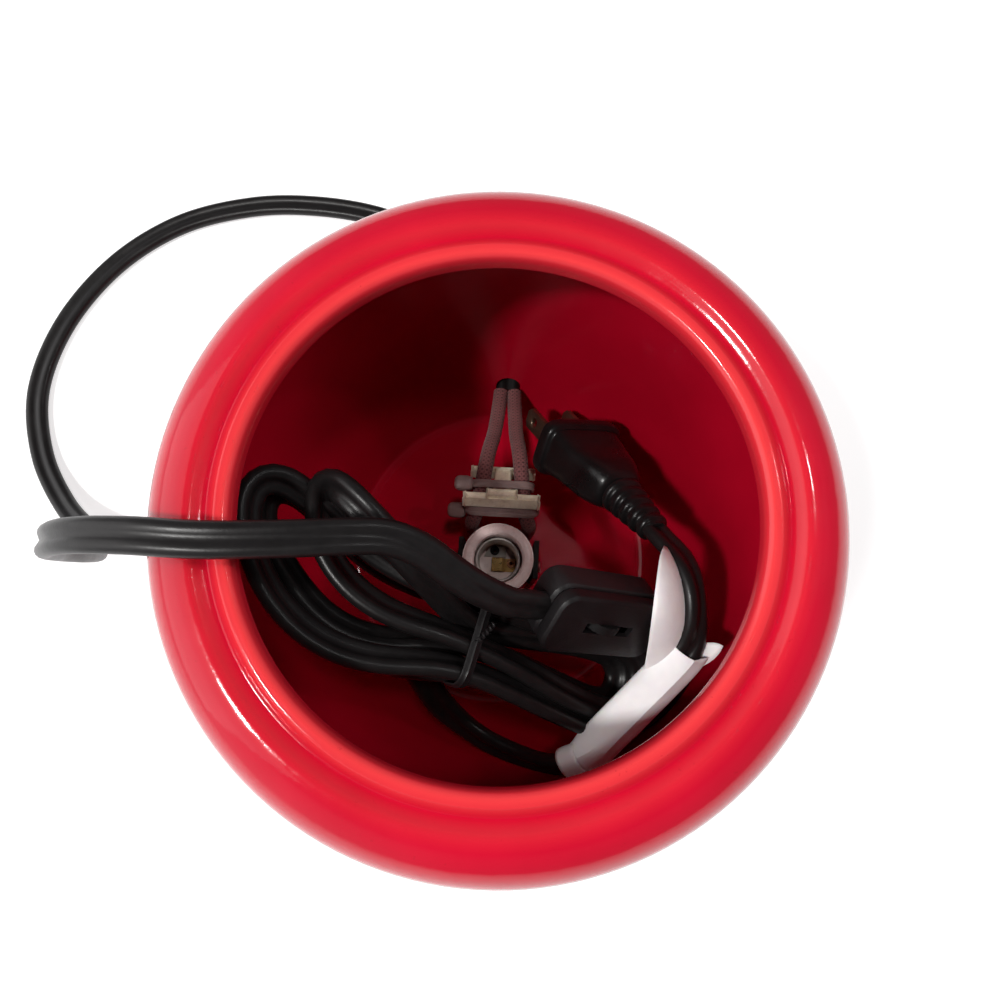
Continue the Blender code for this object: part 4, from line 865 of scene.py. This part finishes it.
lampPieces = {
    "lamp_bracket": (blackSteel, 0.00025, "black_steel"),
    "bracket_screw": (zinc, 0.0002, "zinc"),
    "bracket_washer": (fibreWasher, 0.0001, "fibre"),
    "bracket_nut": (zinc, 0.0002, "zinc"),
    "lamp_holder": (porcelain, 0.0003, "porcelain"),
    "holder_screw_left": (zinc, 0.0002, "zinc"),
    "holder_screw_right": (zinc, 0.0002, "zinc"),
    "shell_terminal": (nickel, 0.0001, "shell_metal"),
    # The shell rivet is copper, but gets the black steel finish as painted shade of its dark hole.
    "shell_rivet": (blackSteel, 0.00006, "copper"),
    "centre_contact": (brass, 0.0001, "brass"),
    "contact_rivet": (brightCopper, 0.00006, "copper"),
    "lead_wire_left": (copper, 0.0, "copper"),
    "lead_wire_right": (copper, 0.0, "copper"),
}
for node, look in lampPieces.items():
    refined(node, *look)

shellShape = {"radius": 0.0060, "wave": 0.00035, "sheet": 0.0004, "pitch": 0.00254, "turns": 5, "low": 0.0291,
              "segments": 64, "rowsPerTurn": 12}


def makeShell():
    # A rolled thread in thin sheet: up the outside, then down the inside.
    p = shellShape
    rows = p["rowsPerTurn"] * p["turns"]
    rings = []
    for offset, order in ((p["sheet"] / 2, 1), (-p["sheet"] / 2, -1)):
        for row in list(range(rows + 1))[::order]:
            rise = p["pitch"] * p["turns"] * row / rows
            ease = min(1.0, 2 * row / rows * p["turns"], 2 * (rows - row) / rows * p["turns"])
            ring = []
            for step in range(p["segments"]):
                angle = 2 * math.pi * step / p["segments"]
                wave = p["wave"] * ease * math.cos(2 * math.pi * rise / p["pitch"] - angle)
                radius = p["radius"] + offset + wave
                ring.append((radius * math.cos(angle), potShape["lampY"] + radius * math.sin(angle),
                             p["low"] + rise))
            rings.append(ring)
    return loftPiece("screwShell", rings, nickel, 60, True)


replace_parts(makeShell(), "screw_shell")
print("lamp holder finished")


# Sleeved leads, strain relief plate and cable ties

sleeveShape = {"radius": 0.00225, "bore": 0.00145, "sides": 24, "step": 0.0008}
sleeveRoute = [
    (0.00215, 0.0506, 0.0254), (0.0025, 0.0450, 0.0268), (0.0033, 0.0360, 0.0308), (0.0046, 0.0285, 0.0356),
    (0.0053, 0.0230, 0.0377), (0.0059, 0.0180, 0.0374), (0.0066, 0.0130, 0.0367), (0.0074, 0.0098, 0.0352),
    (0.0084, 0.0078, 0.0315), (0.0087, 0.0074, 0.0265), (0.0087, 0.0073, 0.0218), (0.0082, 0.0066, 0.0184),
    (0.0072, 0.0052, 0.0172), (0.0060, 0.0036, 0.0171),
]


def makeSleeve(word, side):
    # A woven tube: along its outside, then back along its bore.
    p = sleeveShape
    path = smoothLine([(side * x, y, z) for x, y, z in sleeveRoute], p["step"])
    along = arcLength(path)
    tangents = tangentsOf(path)
    normals = squareTo(tangents, np.tile(np.array((1.0, 0.0, 0.0)), (len(path), 1)))
    rings = []
    uvs = []
    for reach, order in ((p["radius"], 1), (p["bore"], -1)):
        for index in list(range(len(path)))[::order]:
            other = np.cross(normals[index], tangents[index])
            ring = []
            for step in range(p["sides"]):
                angle = 2 * math.pi * step / p["sides"]
                way = math.cos(angle) * normals[index] + math.sin(angle) * other
                ring.append(path[index] + reach * way)
                uvs.append((along[index] * 1000, step / p["sides"]))
            rings.append(ring)
    cover = loftPiece("sleeve_" + word, rings, braid, 60, True, uvs)
    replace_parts(cover, "wire_sleeve_" + word)


makeSleeve("left", -1)
makeSleeve("right", 1)


def addBox(shape, low, high, matrix, edgeWidth):
    verts = bmesh.ops.create_cube(shape, size=1.0)["verts"]
    for vert in verts:
        part = vert.co + Vector((0.5, 0.5, 0.5))
        vert.co = matrix @ Vector(tuple(a + (b - a) * t for a, b, t in zip(low, high, part)))
    edges = list(dict.fromkeys(edge for vert in verts for edge in vert.link_edges))
    breakEdges(shape, edges, edgeWidth, 3)


def frameMatrix(origin, xAxis, yAxis):
    xAxis = Vector(xAxis).normalized()
    zAxis = xAxis.cross(Vector(yAxis)).normalized()
    yAxis = zAxis.cross(xAxis)
    return Matrix.Translation(Vector(origin)) @ Matrix((xAxis, yAxis, zAxis)).transposed().to_4x4()


# Each bar of the plate has its low corner, its high corner and the width of its round edges.
plateShape = {"at": (0.0, 0.0180, 0.0371), "tilt": math.radians(38),
              "front": ((-0.0104, 0.0050, -0.0007), (0.0104, 0.0075, 0.0010), 0.0008),
              "bridge": ((-0.0040, 0.0038, -0.0006), (0.0040, 0.0064, 0.0018), 0.0006),
              "rear": ((-0.0091, -0.0074, -0.0010), (0.0091, -0.0052, 0.0006), 0.0006),
              "web": ((-0.0024, -0.0062, -0.0006), (0.0024, 0.0048, 0.0011), 0.0004),
              "webReach": (0.0025, -0.0064, 0.0050), "taper": (0.90, 0.24)}


def makePlate():
    # A front bar with a raised bridge, a web that widens towards it, and a thinner bar behind.
    p = plateShape
    matrix = frameMatrix(p["at"], (-1, 0, 0), (0.0, -math.cos(p["tilt"]), math.sin(p["tilt"])))
    shape = bmesh.new()
    for bar in ("front", "bridge", "rear", "web"):
        low, high, edgeWidth = p[bar]
        addBox(shape, low, high, matrix, edgeWidth)
    back = matrix.inverted()
    halfWidth, rear, front = p["webReach"]
    start, end = p["web"][0][1], p["web"][1][1]
    narrow, gain = p["taper"]
    for vert in shape.verts:
        local = back @ vert.co
        if abs(local.x) < halfWidth and rear < local.y < front:
            local.x *= narrow + gain * (local.y - start) / (end - start)
            vert.co = matrix @ local
    plate = addPiece("plate", bpy.data.meshes.new("plate"), shape, cream, 35)
    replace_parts(plate, "strain_relief_plate")


makePlate()

tieShapes = {"upper": {"at": (0.0180, 0.0374), "half": (0.0086, 0.0030), "lean": 0.0, "width": 0.0023,
                       "head": (0.0020, 0.0)},
             "lower": {"at": (0.0122, 0.0353), "half": (0.0104, 0.0033), "lean": math.radians(30),
                       "width": 0.0031, "head": (0.0010, 0.0013)}}
tieSize = {"thickness": 0.0010, "edge": 0.0003, "rib": 0.0004, "corner": 0.9,
           "head": (0.0028, 0.0019, 0.0022), "headOut": 0.0016, "headPower": 0.62}


def roundedLoop(halfX, halfY, corner, steps=8):
    outline = []
    for quarter, (sideX, sideY) in enumerate(((1, 1), (-1, 1), (-1, -1), (1, -1))):
        for step in range(steps + 1):
            angle = math.pi / 2 * (quarter + step / steps)
            outline.append((sideX * (halfX - corner) + corner * math.cos(angle),
                            sideY * (halfY - corner) + corner * math.sin(angle)))
    return outline


def addKnob(shape, centre, half, matrix):
    # A block with full round corners.
    made = bmesh.ops.create_uvsphere(shape, u_segments=24, v_segments=14, radius=1.0)
    for vert in made["verts"]:
        vert.co = matrix @ Vector(tuple(middle + size * math.copysign(abs(part) ** tieSize["headPower"], part)
                                        for middle, size, part in zip(centre, half, vert.co)))


def makeTie(word):
    p = tieShapes[word]
    halfX, halfZ = p["half"]
    thick = tieSize["thickness"] / 2
    wide = p["width"] / 2
    edge, rib = tieSize["edge"], tieSize["rib"]
    loop = roundedLoop(halfX + thick, halfZ + thick, halfZ * tieSize["corner"] + thick)
    matrix = frameMatrix((0.0, *p["at"]), (1, 0, 0), (0, -math.sin(p["lean"]), math.cos(p["lean"])))
    path = [np.array(matrix @ Vector((x, z, 0.0))) for x, z in loop]
    middle = np.array(matrix @ Vector((0, 0, 0)))
    # A flat band with a shallow channel down the middle of its outside.
    flat = [(wide, -thick * 0.6), (wide, thick * 0.6), (wide - edge, thick), (rib, thick),
            (edge, thick * 0.7), (-edge, thick * 0.7), (-rib, thick), (-wide + edge, thick),
            (-wide, thick * 0.6), (-wide, -thick * 0.6), (-wide + edge, -thick), (wide - edge, -thick)]
    band = swept("tie_" + word, path, [point - middle for point in path], flat, nylon, True)
    shape = bmesh.new()
    shape.from_mesh(band.data)
    headX = -halfX - tieSize["thickness"] - tieSize["headOut"]
    addKnob(shape, (headX, *p["head"]), tieSize["head"], matrix)
    shadeMesh(band.data, shape, 40)
    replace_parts(band, "cable_tie_" + word)


makeTie("upper")
makeTie("lower")
print("leads and ties finished")


# Switch on the cord

switchLooks = {
    "switch_lower_housing": (mouldedBlack, 0.00025, "moulded_black"),
    "switch_upper_housing": (mouldedBlack, 0.00025, "moulded_black"),
    "switch_thumbwheel": (wheelBlack, 0.0, "moulded_black", "thumbwheel"),
    "switch_axle": (zinc, 0.0001, "zinc"),
    "switch_contact_left": (brass, 0.0001, "brass"),
    "switch_contact_right": (brass, 0.0001, "brass"),
    "switch_screw_left": (zinc, 0.0001, "zinc"),
    "switch_screw_right": (zinc, 0.0001, "zinc"),
}
switchPieces = [refined(node, *look) for node, look in switchLooks.items()]


# Hank tie

hankTieShape = {"slack": 0.0010, "extra": (0.0004, 0.0006), "rise": 0.0004, "back": 0.0015, "points": 30,
                "across": 0.0052, "along": 0.0022, "arch": 0.0012, "archTurn": 2.2, "pair": 0.0004,
                "wire": 0.00038, "sides": 6, "turns": 2.5, "corner": 0.55}
hankTieHalf = [(0.0013, 0.00015), (0.0010, 0.0003), (0.0004, 0.0003)]


def makeHankTie():
    p = hankTieShape
    slack = cordSize["tube"] + p["slack"]
    rear = hankShape["waistHalf"] - 0.75 * hankShape["step"] + slack
    front = hankShape["waistHalf"] - 0.25 * hankShape["step"] + slack
    halfX = (rear + front) / 2 + p["extra"][0]
    halfY = hankShape["layer"] + slack + p["extra"][1]
    wished = [hankAcross * x + hankAbove * y for x, y in roundedLoop(halfX, halfY, halfY * p["corner"])]
    middle = hankPoint(0.0, (rear - front) / 2, 0.0)
    # A flat strip with a wire down the middle of its outside.
    edge, shoulder, foot = hankTieHalf
    flat = [(edge[0], -edge[1]), edge, shoulder, foot, (0.0, 2 * foot[1]), (-foot[0], foot[1]),
            (-shoulder[0], shoulder[1]), (-edge[0], edge[1]), (-edge[0], -edge[1]), (-foot[0], -foot[1]),
            (foot[0], -foot[1])]
    path = [middle + way for way in wished]
    band = swept("hankTie", path, wished, flat, mouldedBlack, True)
    # Both ends are twisted together and lie on the band.
    shape = bmesh.new()
    shape.from_mesh(band.data)
    start = middle + hankAbove * (halfY + p["rise"]) - hankAcross * p["back"]
    for side in (0.0, math.pi):
        verts = []
        for part in np.linspace(0.0, 1.0, p["points"]):
            turn = side + 2 * math.pi * p["turns"] * part
            spot = start + hankAcross * p["across"] * part + hankAlong * p["along"] * part
            spot = spot + hankAbove * p["arch"] * math.sin(p["archTurn"] * part)
            spot = spot + p["pair"] * (hankAlong * math.cos(turn) + hankAbove * math.sin(turn))
            for corner in range(p["sides"]):
                angle = 2 * math.pi * corner / p["sides"] + turn
                way = hankAlong * math.cos(angle) + hankAbove * math.sin(angle)
                verts.append(shape.verts.new(spot + p["wire"] * way))
        for face in ringFaces(p["points"], p["sides"]):
            shape.faces.new([verts[index] for index in face])
    bmesh.ops.recalc_face_normals(shape, faces=shape.faces)
    shadeMesh(band.data, shape, 50)
    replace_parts(band, "hank_tie")
    return band


hankTie = makeHankTie()


# Plug

plugShape = {"flange": (0.0128, 0.0086), "pocket": (0.0093, 0.0055), "pocketDepth": 0.0059,
             "pocketSquare": 2 / 0.12, "square": 5, "squareLoss": 2.2, "hollow": 0.0007, "hollowAt": 0.38,
             "hollowReach": 0.20, "ribs": 5, "rib": 0.0005, "ribSteps": 12, "ribSharp": 1.8,
             "relief": (0.0052, 0.0032), "oval": (1.08, 0.95), "round": 2.2, "end": (0.0020, 0.0016),
             "sides": 56}
# The flange's round edges: how far in from its front or its back, and how much smaller there.
frontEdge = [(0.0, 0.0009), (0.00015, 0.0005), (0.0005, 0.00012), (0.0010, 0.0)]
backEdge = [(0.0012, 0.0), (0.0006, 0.00015), (0.0002, 0.0006), (0.0, 0.0012)]
# Places along the grip with its share of the flange's width and thickness.
gripStops = np.array([(0.02, 0.88, 0.88), (0.10, 0.855, 0.865), (0.40, 0.82, 0.84), (0.75, 0.68, 0.78),
                      (0.95, 0.54, 0.68), (1.0, 0.47, 0.60)])
gripParts = (0.02, 0.05, 0.10, 0.18, 0.26, 0.34, 0.42, 0.50, 0.58, 0.66, 0.74, 0.82, 0.89, 0.94, 0.97, 1.0)


def plugSection(along, halfY, halfZ, squareness):
    section = []
    power = 2 / squareness
    for step in range(plugShape["sides"]):
        angle = 2 * math.pi * (step + 0.5) / plugShape["sides"]
        y = halfY * math.copysign(abs(math.cos(angle)) ** power, math.cos(angle))
        z = halfZ * math.copysign(abs(math.sin(angle)) ** power, math.sin(angle))
        section.append(plugAt + plugAlong * along + plugAcross * y + plugAbove * z)
    return section


def makePlug():
    # From the floor of the insert's pocket out to the front face, then back over the flange and the grip.
    p = plugShape
    wide, thick = p["flange"]
    deep = plugFrame["flange"]
    sections = [plugSection(depth, *p["pocket"], p["pocketSquare"]) for depth in (p["pocketDepth"], 0.0)]
    for along, cut in frontEdge + [(deep - back, cut) for back, cut in backEdge]:
        sections.append(plugSection(along, wide - cut, thick - cut, p["square"]))
    for part in gripParts:
        shareY, shareZ = [np.interp(part, gripStops[:, 0], gripStops[:, column]) for column in (1, 2)]
        # A shallow finger hollow on both broad faces.
        hollow = p["hollow"] * math.exp(-((part - p["hollowAt"]) / p["hollowReach"]) ** 2)
        sections.append(plugSection(deep + plugFrame["grip"] * part, wide * shareY, thick * shareZ - hollow,
                                    p["square"] - p["squareLoss"] * part))
    stern = deep + plugFrame["grip"]
    steps = p["ribSteps"] * p["ribs"]
    start, end = p["relief"]
    broad, flat = p["oval"]
    for step in range(1, steps + 1):
        part = step / steps
        wave = math.sin(2 * math.pi * p["ribs"] * part - math.pi / 2)
        radius = start + (end - start) * part + p["rib"] * max(-1.0, min(1.0, p["ribSharp"] * wave))
        place = stern + plugFrame["relief"] * part
        sections.append(plugSection(place, radius * broad, radius * flat, p["round"]))
    sections.append(plugSection(stern + plugFrame["relief"], *p["end"], p["round"]))
    plug = loftPiece("plugBody", sections, softBlack, 50)
    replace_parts(plug, "plug_body")
    return plug


plugLooks = {
    "plug_insert": (mouldedBlack, 0.0003, "moulded_black"),
    "plug_blade_left": (darkBrass, 0.0002, "brass"),
    "plug_blade_right": (darkBrass, 0.0002, "brass"),
}
plugPieces = [makePlug()] + [refined(node, *look) for node, look in plugLooks.items()]
print("switch and plug finished")


# Label: a blank strip folded round the tail, with one leaf of it standing up beside the cord

labelShape = {"width": 0.0245, "paper": 0.00022, "stations": 44, "tube": (0.0042, 0.0029),
              "turn": math.radians(-26), "opens": (0.05, 0.18), "lowers": (0.16, 0.26), "skew": 0.0010,
              "crumple": (0.00012, 0.00007), "cuff": 0.0056, "cuffGap": (0.0003, 0.0001), "cuffSteps": 28,
              "cuffShare": 0.98, "cuffFrom": -0.06, "leafBack": 0.014, "leafLength": 0.0395, "leafRows": 22,
              "leafColumns": 12, "under": 0.0024}
labelCorner = {"length": 0.0095, "from": 0.0010, "to": 0.0044, "swell": 0.0022, "swellTurn": 0.7 * math.pi,
               "low": -0.0026, "lift": 0.0030, "back": 0.004, "inner": 0.55, "outer": 0.45}
# The folded strip's section in millimetres.
foldOutline = [
    (-2.2, -2.05), (-3.8, -1.85), (-4.6, -1.40), (-5.0, -0.80), (-5.1, -0.15), (-4.95, 0.50), (-4.5, 1.05),
    (-3.6, 1.50), (-2.2, 1.88), (-0.6, 2.12), (1.0, 2.36), (2.2, 2.54), (2.9, 1.92), (3.6, 1.26), (4.3, 0.55),
    (4.85, -0.05), (5.12, -0.60), (5.0, -1.15), (4.5, -1.60), (3.6, -1.95), (2.2, -2.15), (0.6, -2.25),
    (-1.0, -2.30), (-2.8, -2.30),
]
leafEdge = [
    (0.0367, -0.0359, 0.0660), (0.0364, -0.0308, 0.0720), (0.0360, -0.0247, 0.0785),
    (0.0357, -0.0195, 0.0830), (0.0359, -0.0146, 0.0845), (0.0367, -0.0089, 0.0835),
    (0.0380, -0.0041, 0.0800), (0.0400, -0.0011, 0.0745),
]


def labelFrame():
    # Stations along the strip, each with its way out to the wall and its way up.
    middle = sampled(tailShown, tailAlong, np.linspace(labelStart, labelEnd, labelShape["stations"]))
    tangents = tangentsOf(middle)
    normals = squareTo(tangents, np.tile(upward, (len(middle), 1)))
    return middle, tangents, np.cross(tangents, normals), normals


def tubePoint(angle, grown):
    # The squeezed lower end follows the cord's own flat shape.
    turn = labelShape["turn"]
    wide, high = labelShape["tube"]
    a = (wide + grown) * math.cos(angle - turn)
    b = (high + grown) * math.sin(angle - turn)
    return a * math.cos(turn) - b * math.sin(turn), a * math.sin(turn) + b * math.cos(turn)


def labelStrip(middle, tangents, outward, normals):
    # Squeezed round the cord at its lower end, then open to its folded section.
    p = labelShape
    last = p["stations"] - 1
    big, small = p["crumple"]
    rows = []
    for index in range(p["stations"]):
        part = index / last
        flat, low = [clamped((part - start) / reach) for start, reach in (p["opens"], p["lowers"])]
        flat = flat * flat * (3 - 2 * flat)
        row = []
        for step, (a, b) in enumerate(np.array(foldOutline) / 1000):
            roundA, roundB = tubePoint(math.atan2(b, a), 0.0)
            crumple = big * math.sin(11 * part + 0.5 * step) + small * math.sin(23 * part - 0.9 * step)
            a = roundA + (a - roundA) * flat
            b = roundB + (b - roundB) * low + crumple
            # The upper end is cut on the skew.
            slide = p["skew"] * math.sin(0.5 * step) if index == last else 0.0
            row.append(middle[index] + outward[index] * a + normals[index] * b + tangents[index] * slide)
        rows.append(row)
    return rows


def cuffRows(middle, tangents, outward, normals):
    # A turn of paper over the lower end.
    p = labelShape
    gap, ripple = p["cuffGap"]
    rows = []
    for part in np.linspace(p["cuffFrom"], 1.0, 7):
        place = middle[0] + tangents[0] * p["cuff"] * part
        row = []
        for step in range(p["cuffSteps"] + 1):
            angle = 2 * math.pi * step / p["cuffSteps"] * p["cuffShare"]
            a, b = tubePoint(angle, gap + ripple * math.sin(2 * angle + 3 * part))
            row.append(place + outward[0] * a + normals[0] * b)
        rows.append(row)
    return rows


def cornerRows(middle, tangents, outward, normals):
    # The back layer's corner at the upper end, which stands out past the cord.
    p = labelCorner
    rows = []
    for part in np.linspace(0.0, 1.0, 8):
        row = []
        for share in np.linspace(0.0, 1.0, 6):
            width = p["to"] + p["swell"] * math.sin(p["swellTurn"] * part) - p["from"]
            a = p["from"] + width * share
            b = p["low"] + p["lift"] * share * part
            reach = p["length"] * part * (p["inner"] + p["outer"] * math.sin(math.pi / 2 * share)) - p["back"]
            row.append(middle[-1] + outward[-1] * a + normals[-1] * b + tangents[-1] * reach)
        rows.append(row)
    return rows


def leafRows():
    # The leaf, from under the cord up to its free edge.
    p = labelShape
    marks = labelEnd - p["leafBack"] + np.linspace(0.0, p["leafLength"], p["leafRows"])
    roots = sampled(tailShown, tailAlong, marks) - upward * p["under"]
    edge = smoothLine(leafEdge, 0.0005)
    edgeAlong = arcLength(edge)
    edge = sampled(edge, edgeAlong, np.linspace(0, edgeAlong[-1], p["leafRows"]))
    rows = []
    for root, tip in zip(roots, edge):
        row = []
        for share in np.linspace(0.0, 1.0, p["leafColumns"]):
            point = root + (tip - root) * share
            point[2] = root[2] + (tip[2] - root[2]) * (1 - (1 - share) ** 2)
            row.append(point)
        rows.append(row)
    return rows


def makeLabel():
    points = []
    faces = []
    stations = labelFrame()
    for rows in (labelStrip(*stations), cuffRows(*stations), cornerRows(*stations), leafRows()):
        width = len(rows[0])
        for row in range(len(rows) - 1):
            for step in range(width - 1):
                corner = len(points) + row * width + step
                faces.append([corner, corner + 1, corner + 1 + width, corner + width])
        points += [point for row in rows for point in row]
    made = newPiece("label", points, faces, paper, 30)
    area = sum(face.area for face in made.data.polygons)
    thick = made.modifiers.new("paper", "SOLIDIFY")
    thick.thickness = labelShape["paper"]
    thick.offset = 0.0
    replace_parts(made, "cord_label")
    return made, area


label, labelArea = makeLabel()

# Floor, light and view

floorLook = {"half": 3.0, "height": -0.0002, "glow": 0.60}
roomLight = {"from": (-0.94, -0.24, 0.20), "sides": [(0.0, 0.20), (0.35, 0.23), (0.70, 0.60), (0.92, 0.95)],
             "heights": [(0.55, 1.0), (0.90, 0.07)], "blue": 1.01}
# Each lamp's place, the height over the origin that it points at, its size and its power.
lamps = {
    "keyLight": {"at": (-1.05, -0.10, 0.75), "aim": 0.10, "size": (1.40, 1.40), "power": 6.3,
                 "colour": (1.0, 0.98, 0.97)},
    "topLight": {"at": (-0.46, -0.25, 1.02), "aim": 0.06, "size": (0.09, 0.09), "power": 7.2,
                 "colour": (1.0, 0.99, 0.97)},
    "overheadLight": {"at": (0.078, 0.096, 0.90), "aim": 0.04, "size": (0.05, 0.08), "power": 1.3,
                      "colour": (1.0, 0.97, 0.93), "glossy": False},
    "smallLight": {"at": (0.078, 0.096, 0.90), "aim": 0.04, "size": (0.008, 0.014), "power": 0.018},
    "glintLight": {"at": (0.535, 0.235, 1.00), "aim": 0.10, "size": (0.05, 0.05), "power": 0.9},
    "sideLight": {"at": (0.80, 0.22, 0.75), "aim": 0.10, "size": (0.55, 0.55), "power": 3.6, "glossy": False},
}


def makeFloor():
    half, height = floorLook["half"], floorLook["height"]
    mesh = bpy.data.meshes.new("floor")
    mesh.from_pydata([(x * half, y * half, height) for x, y in ((-1, -1), (1, -1), (1, 1), (-1, 1))],
                     [], [[0, 1, 2, 3]])
    paint = Paint("paleFloor")
    tone = paint.between(paint.noise(9, 3), (0.56, 0.56, 0.565), (0.60, 0.60, 0.605))
    mesh.materials.append(paint.finish(Base_Color=tone, Roughness=0.85))
    # The floor is lifted to white for what looks at it, and keeps the shadow.
    glow = paint.node("ShaderNodeEmission")
    glow.inputs["Strength"].default_value = floorLook["glow"]
    rays = paint.node("ShaderNodeLightPath").outputs
    seen = paint.maths("MAXIMUM", rays["Is Camera Ray"], rays["Is Glossy Ray"])
    seen = paint.maths("MAXIMUM", seen, rays["Is Transmission Ray"])
    add = paint.node("ShaderNodeAddShader")
    mix = paint.node("ShaderNodeMixShader")
    plain = paint.shader.outputs[0]
    for source, target in ((plain, add.inputs[0]), (glow.outputs[0], add.inputs[1]), (seen, mix.inputs[0]),
                           (plain, mix.inputs[1]), (add.outputs[0], mix.inputs[2]),
                           (mix.outputs[0], paint.tree.nodes["Material Output"].inputs["Surface"])):
        paint.link(source, target)
    addToScene("floor", mesh)


def makeWorld():
    # A soft room light that comes mostly from the left and is dim straight overhead.
    paint = Paint("studio", "worlds")
    towards = paint.node("ShaderNodeVectorMath", operation="DOT_PRODUCT")
    towards.inputs[1].default_value = Vector(roomLight["from"]).normalized()
    paint.link(paint.place.outputs["Generated"], towards.inputs[0])
    levels = []
    for source, stops in ((towards.outputs["Value"], roomLight["sides"]),
                          (paint.axes("Generated")["Z"], roomLight["heights"])):
        levels.append(paint.ramp(source, [(place, (level, level, level * roomLight["blue"]))
                                          for place, level in stops]))
    paint.link(paint.mix(1.0, *levels, "MULTIPLY"), paint.tree.nodes["Background"].inputs[0])
    bpy.context.scene.world = paint.owner


def addLight(name, at, aim, size, power, colour=(1, 1, 1), glossy=True):
    data = bpy.data.lights.new(name, "AREA")
    data.shape = "RECTANGLE"
    data.size, data.size_y = size
    data.energy = power
    data.color = colour
    lamp = addToScene(name, data)
    lamp.location = at
    lamp.rotation_euler = (Vector((0.0, 0.0, aim)) - Vector(at)).to_track_quat("-Z", "Y").to_euler()
    lamp.visible_glossy = glossy


makeFloor()
makeWorld()
for name, values in lamps.items():
    addLight(name, **values)
print("floor and light set")

bpy.context.scene.view_settings.view_transform = "Standard"
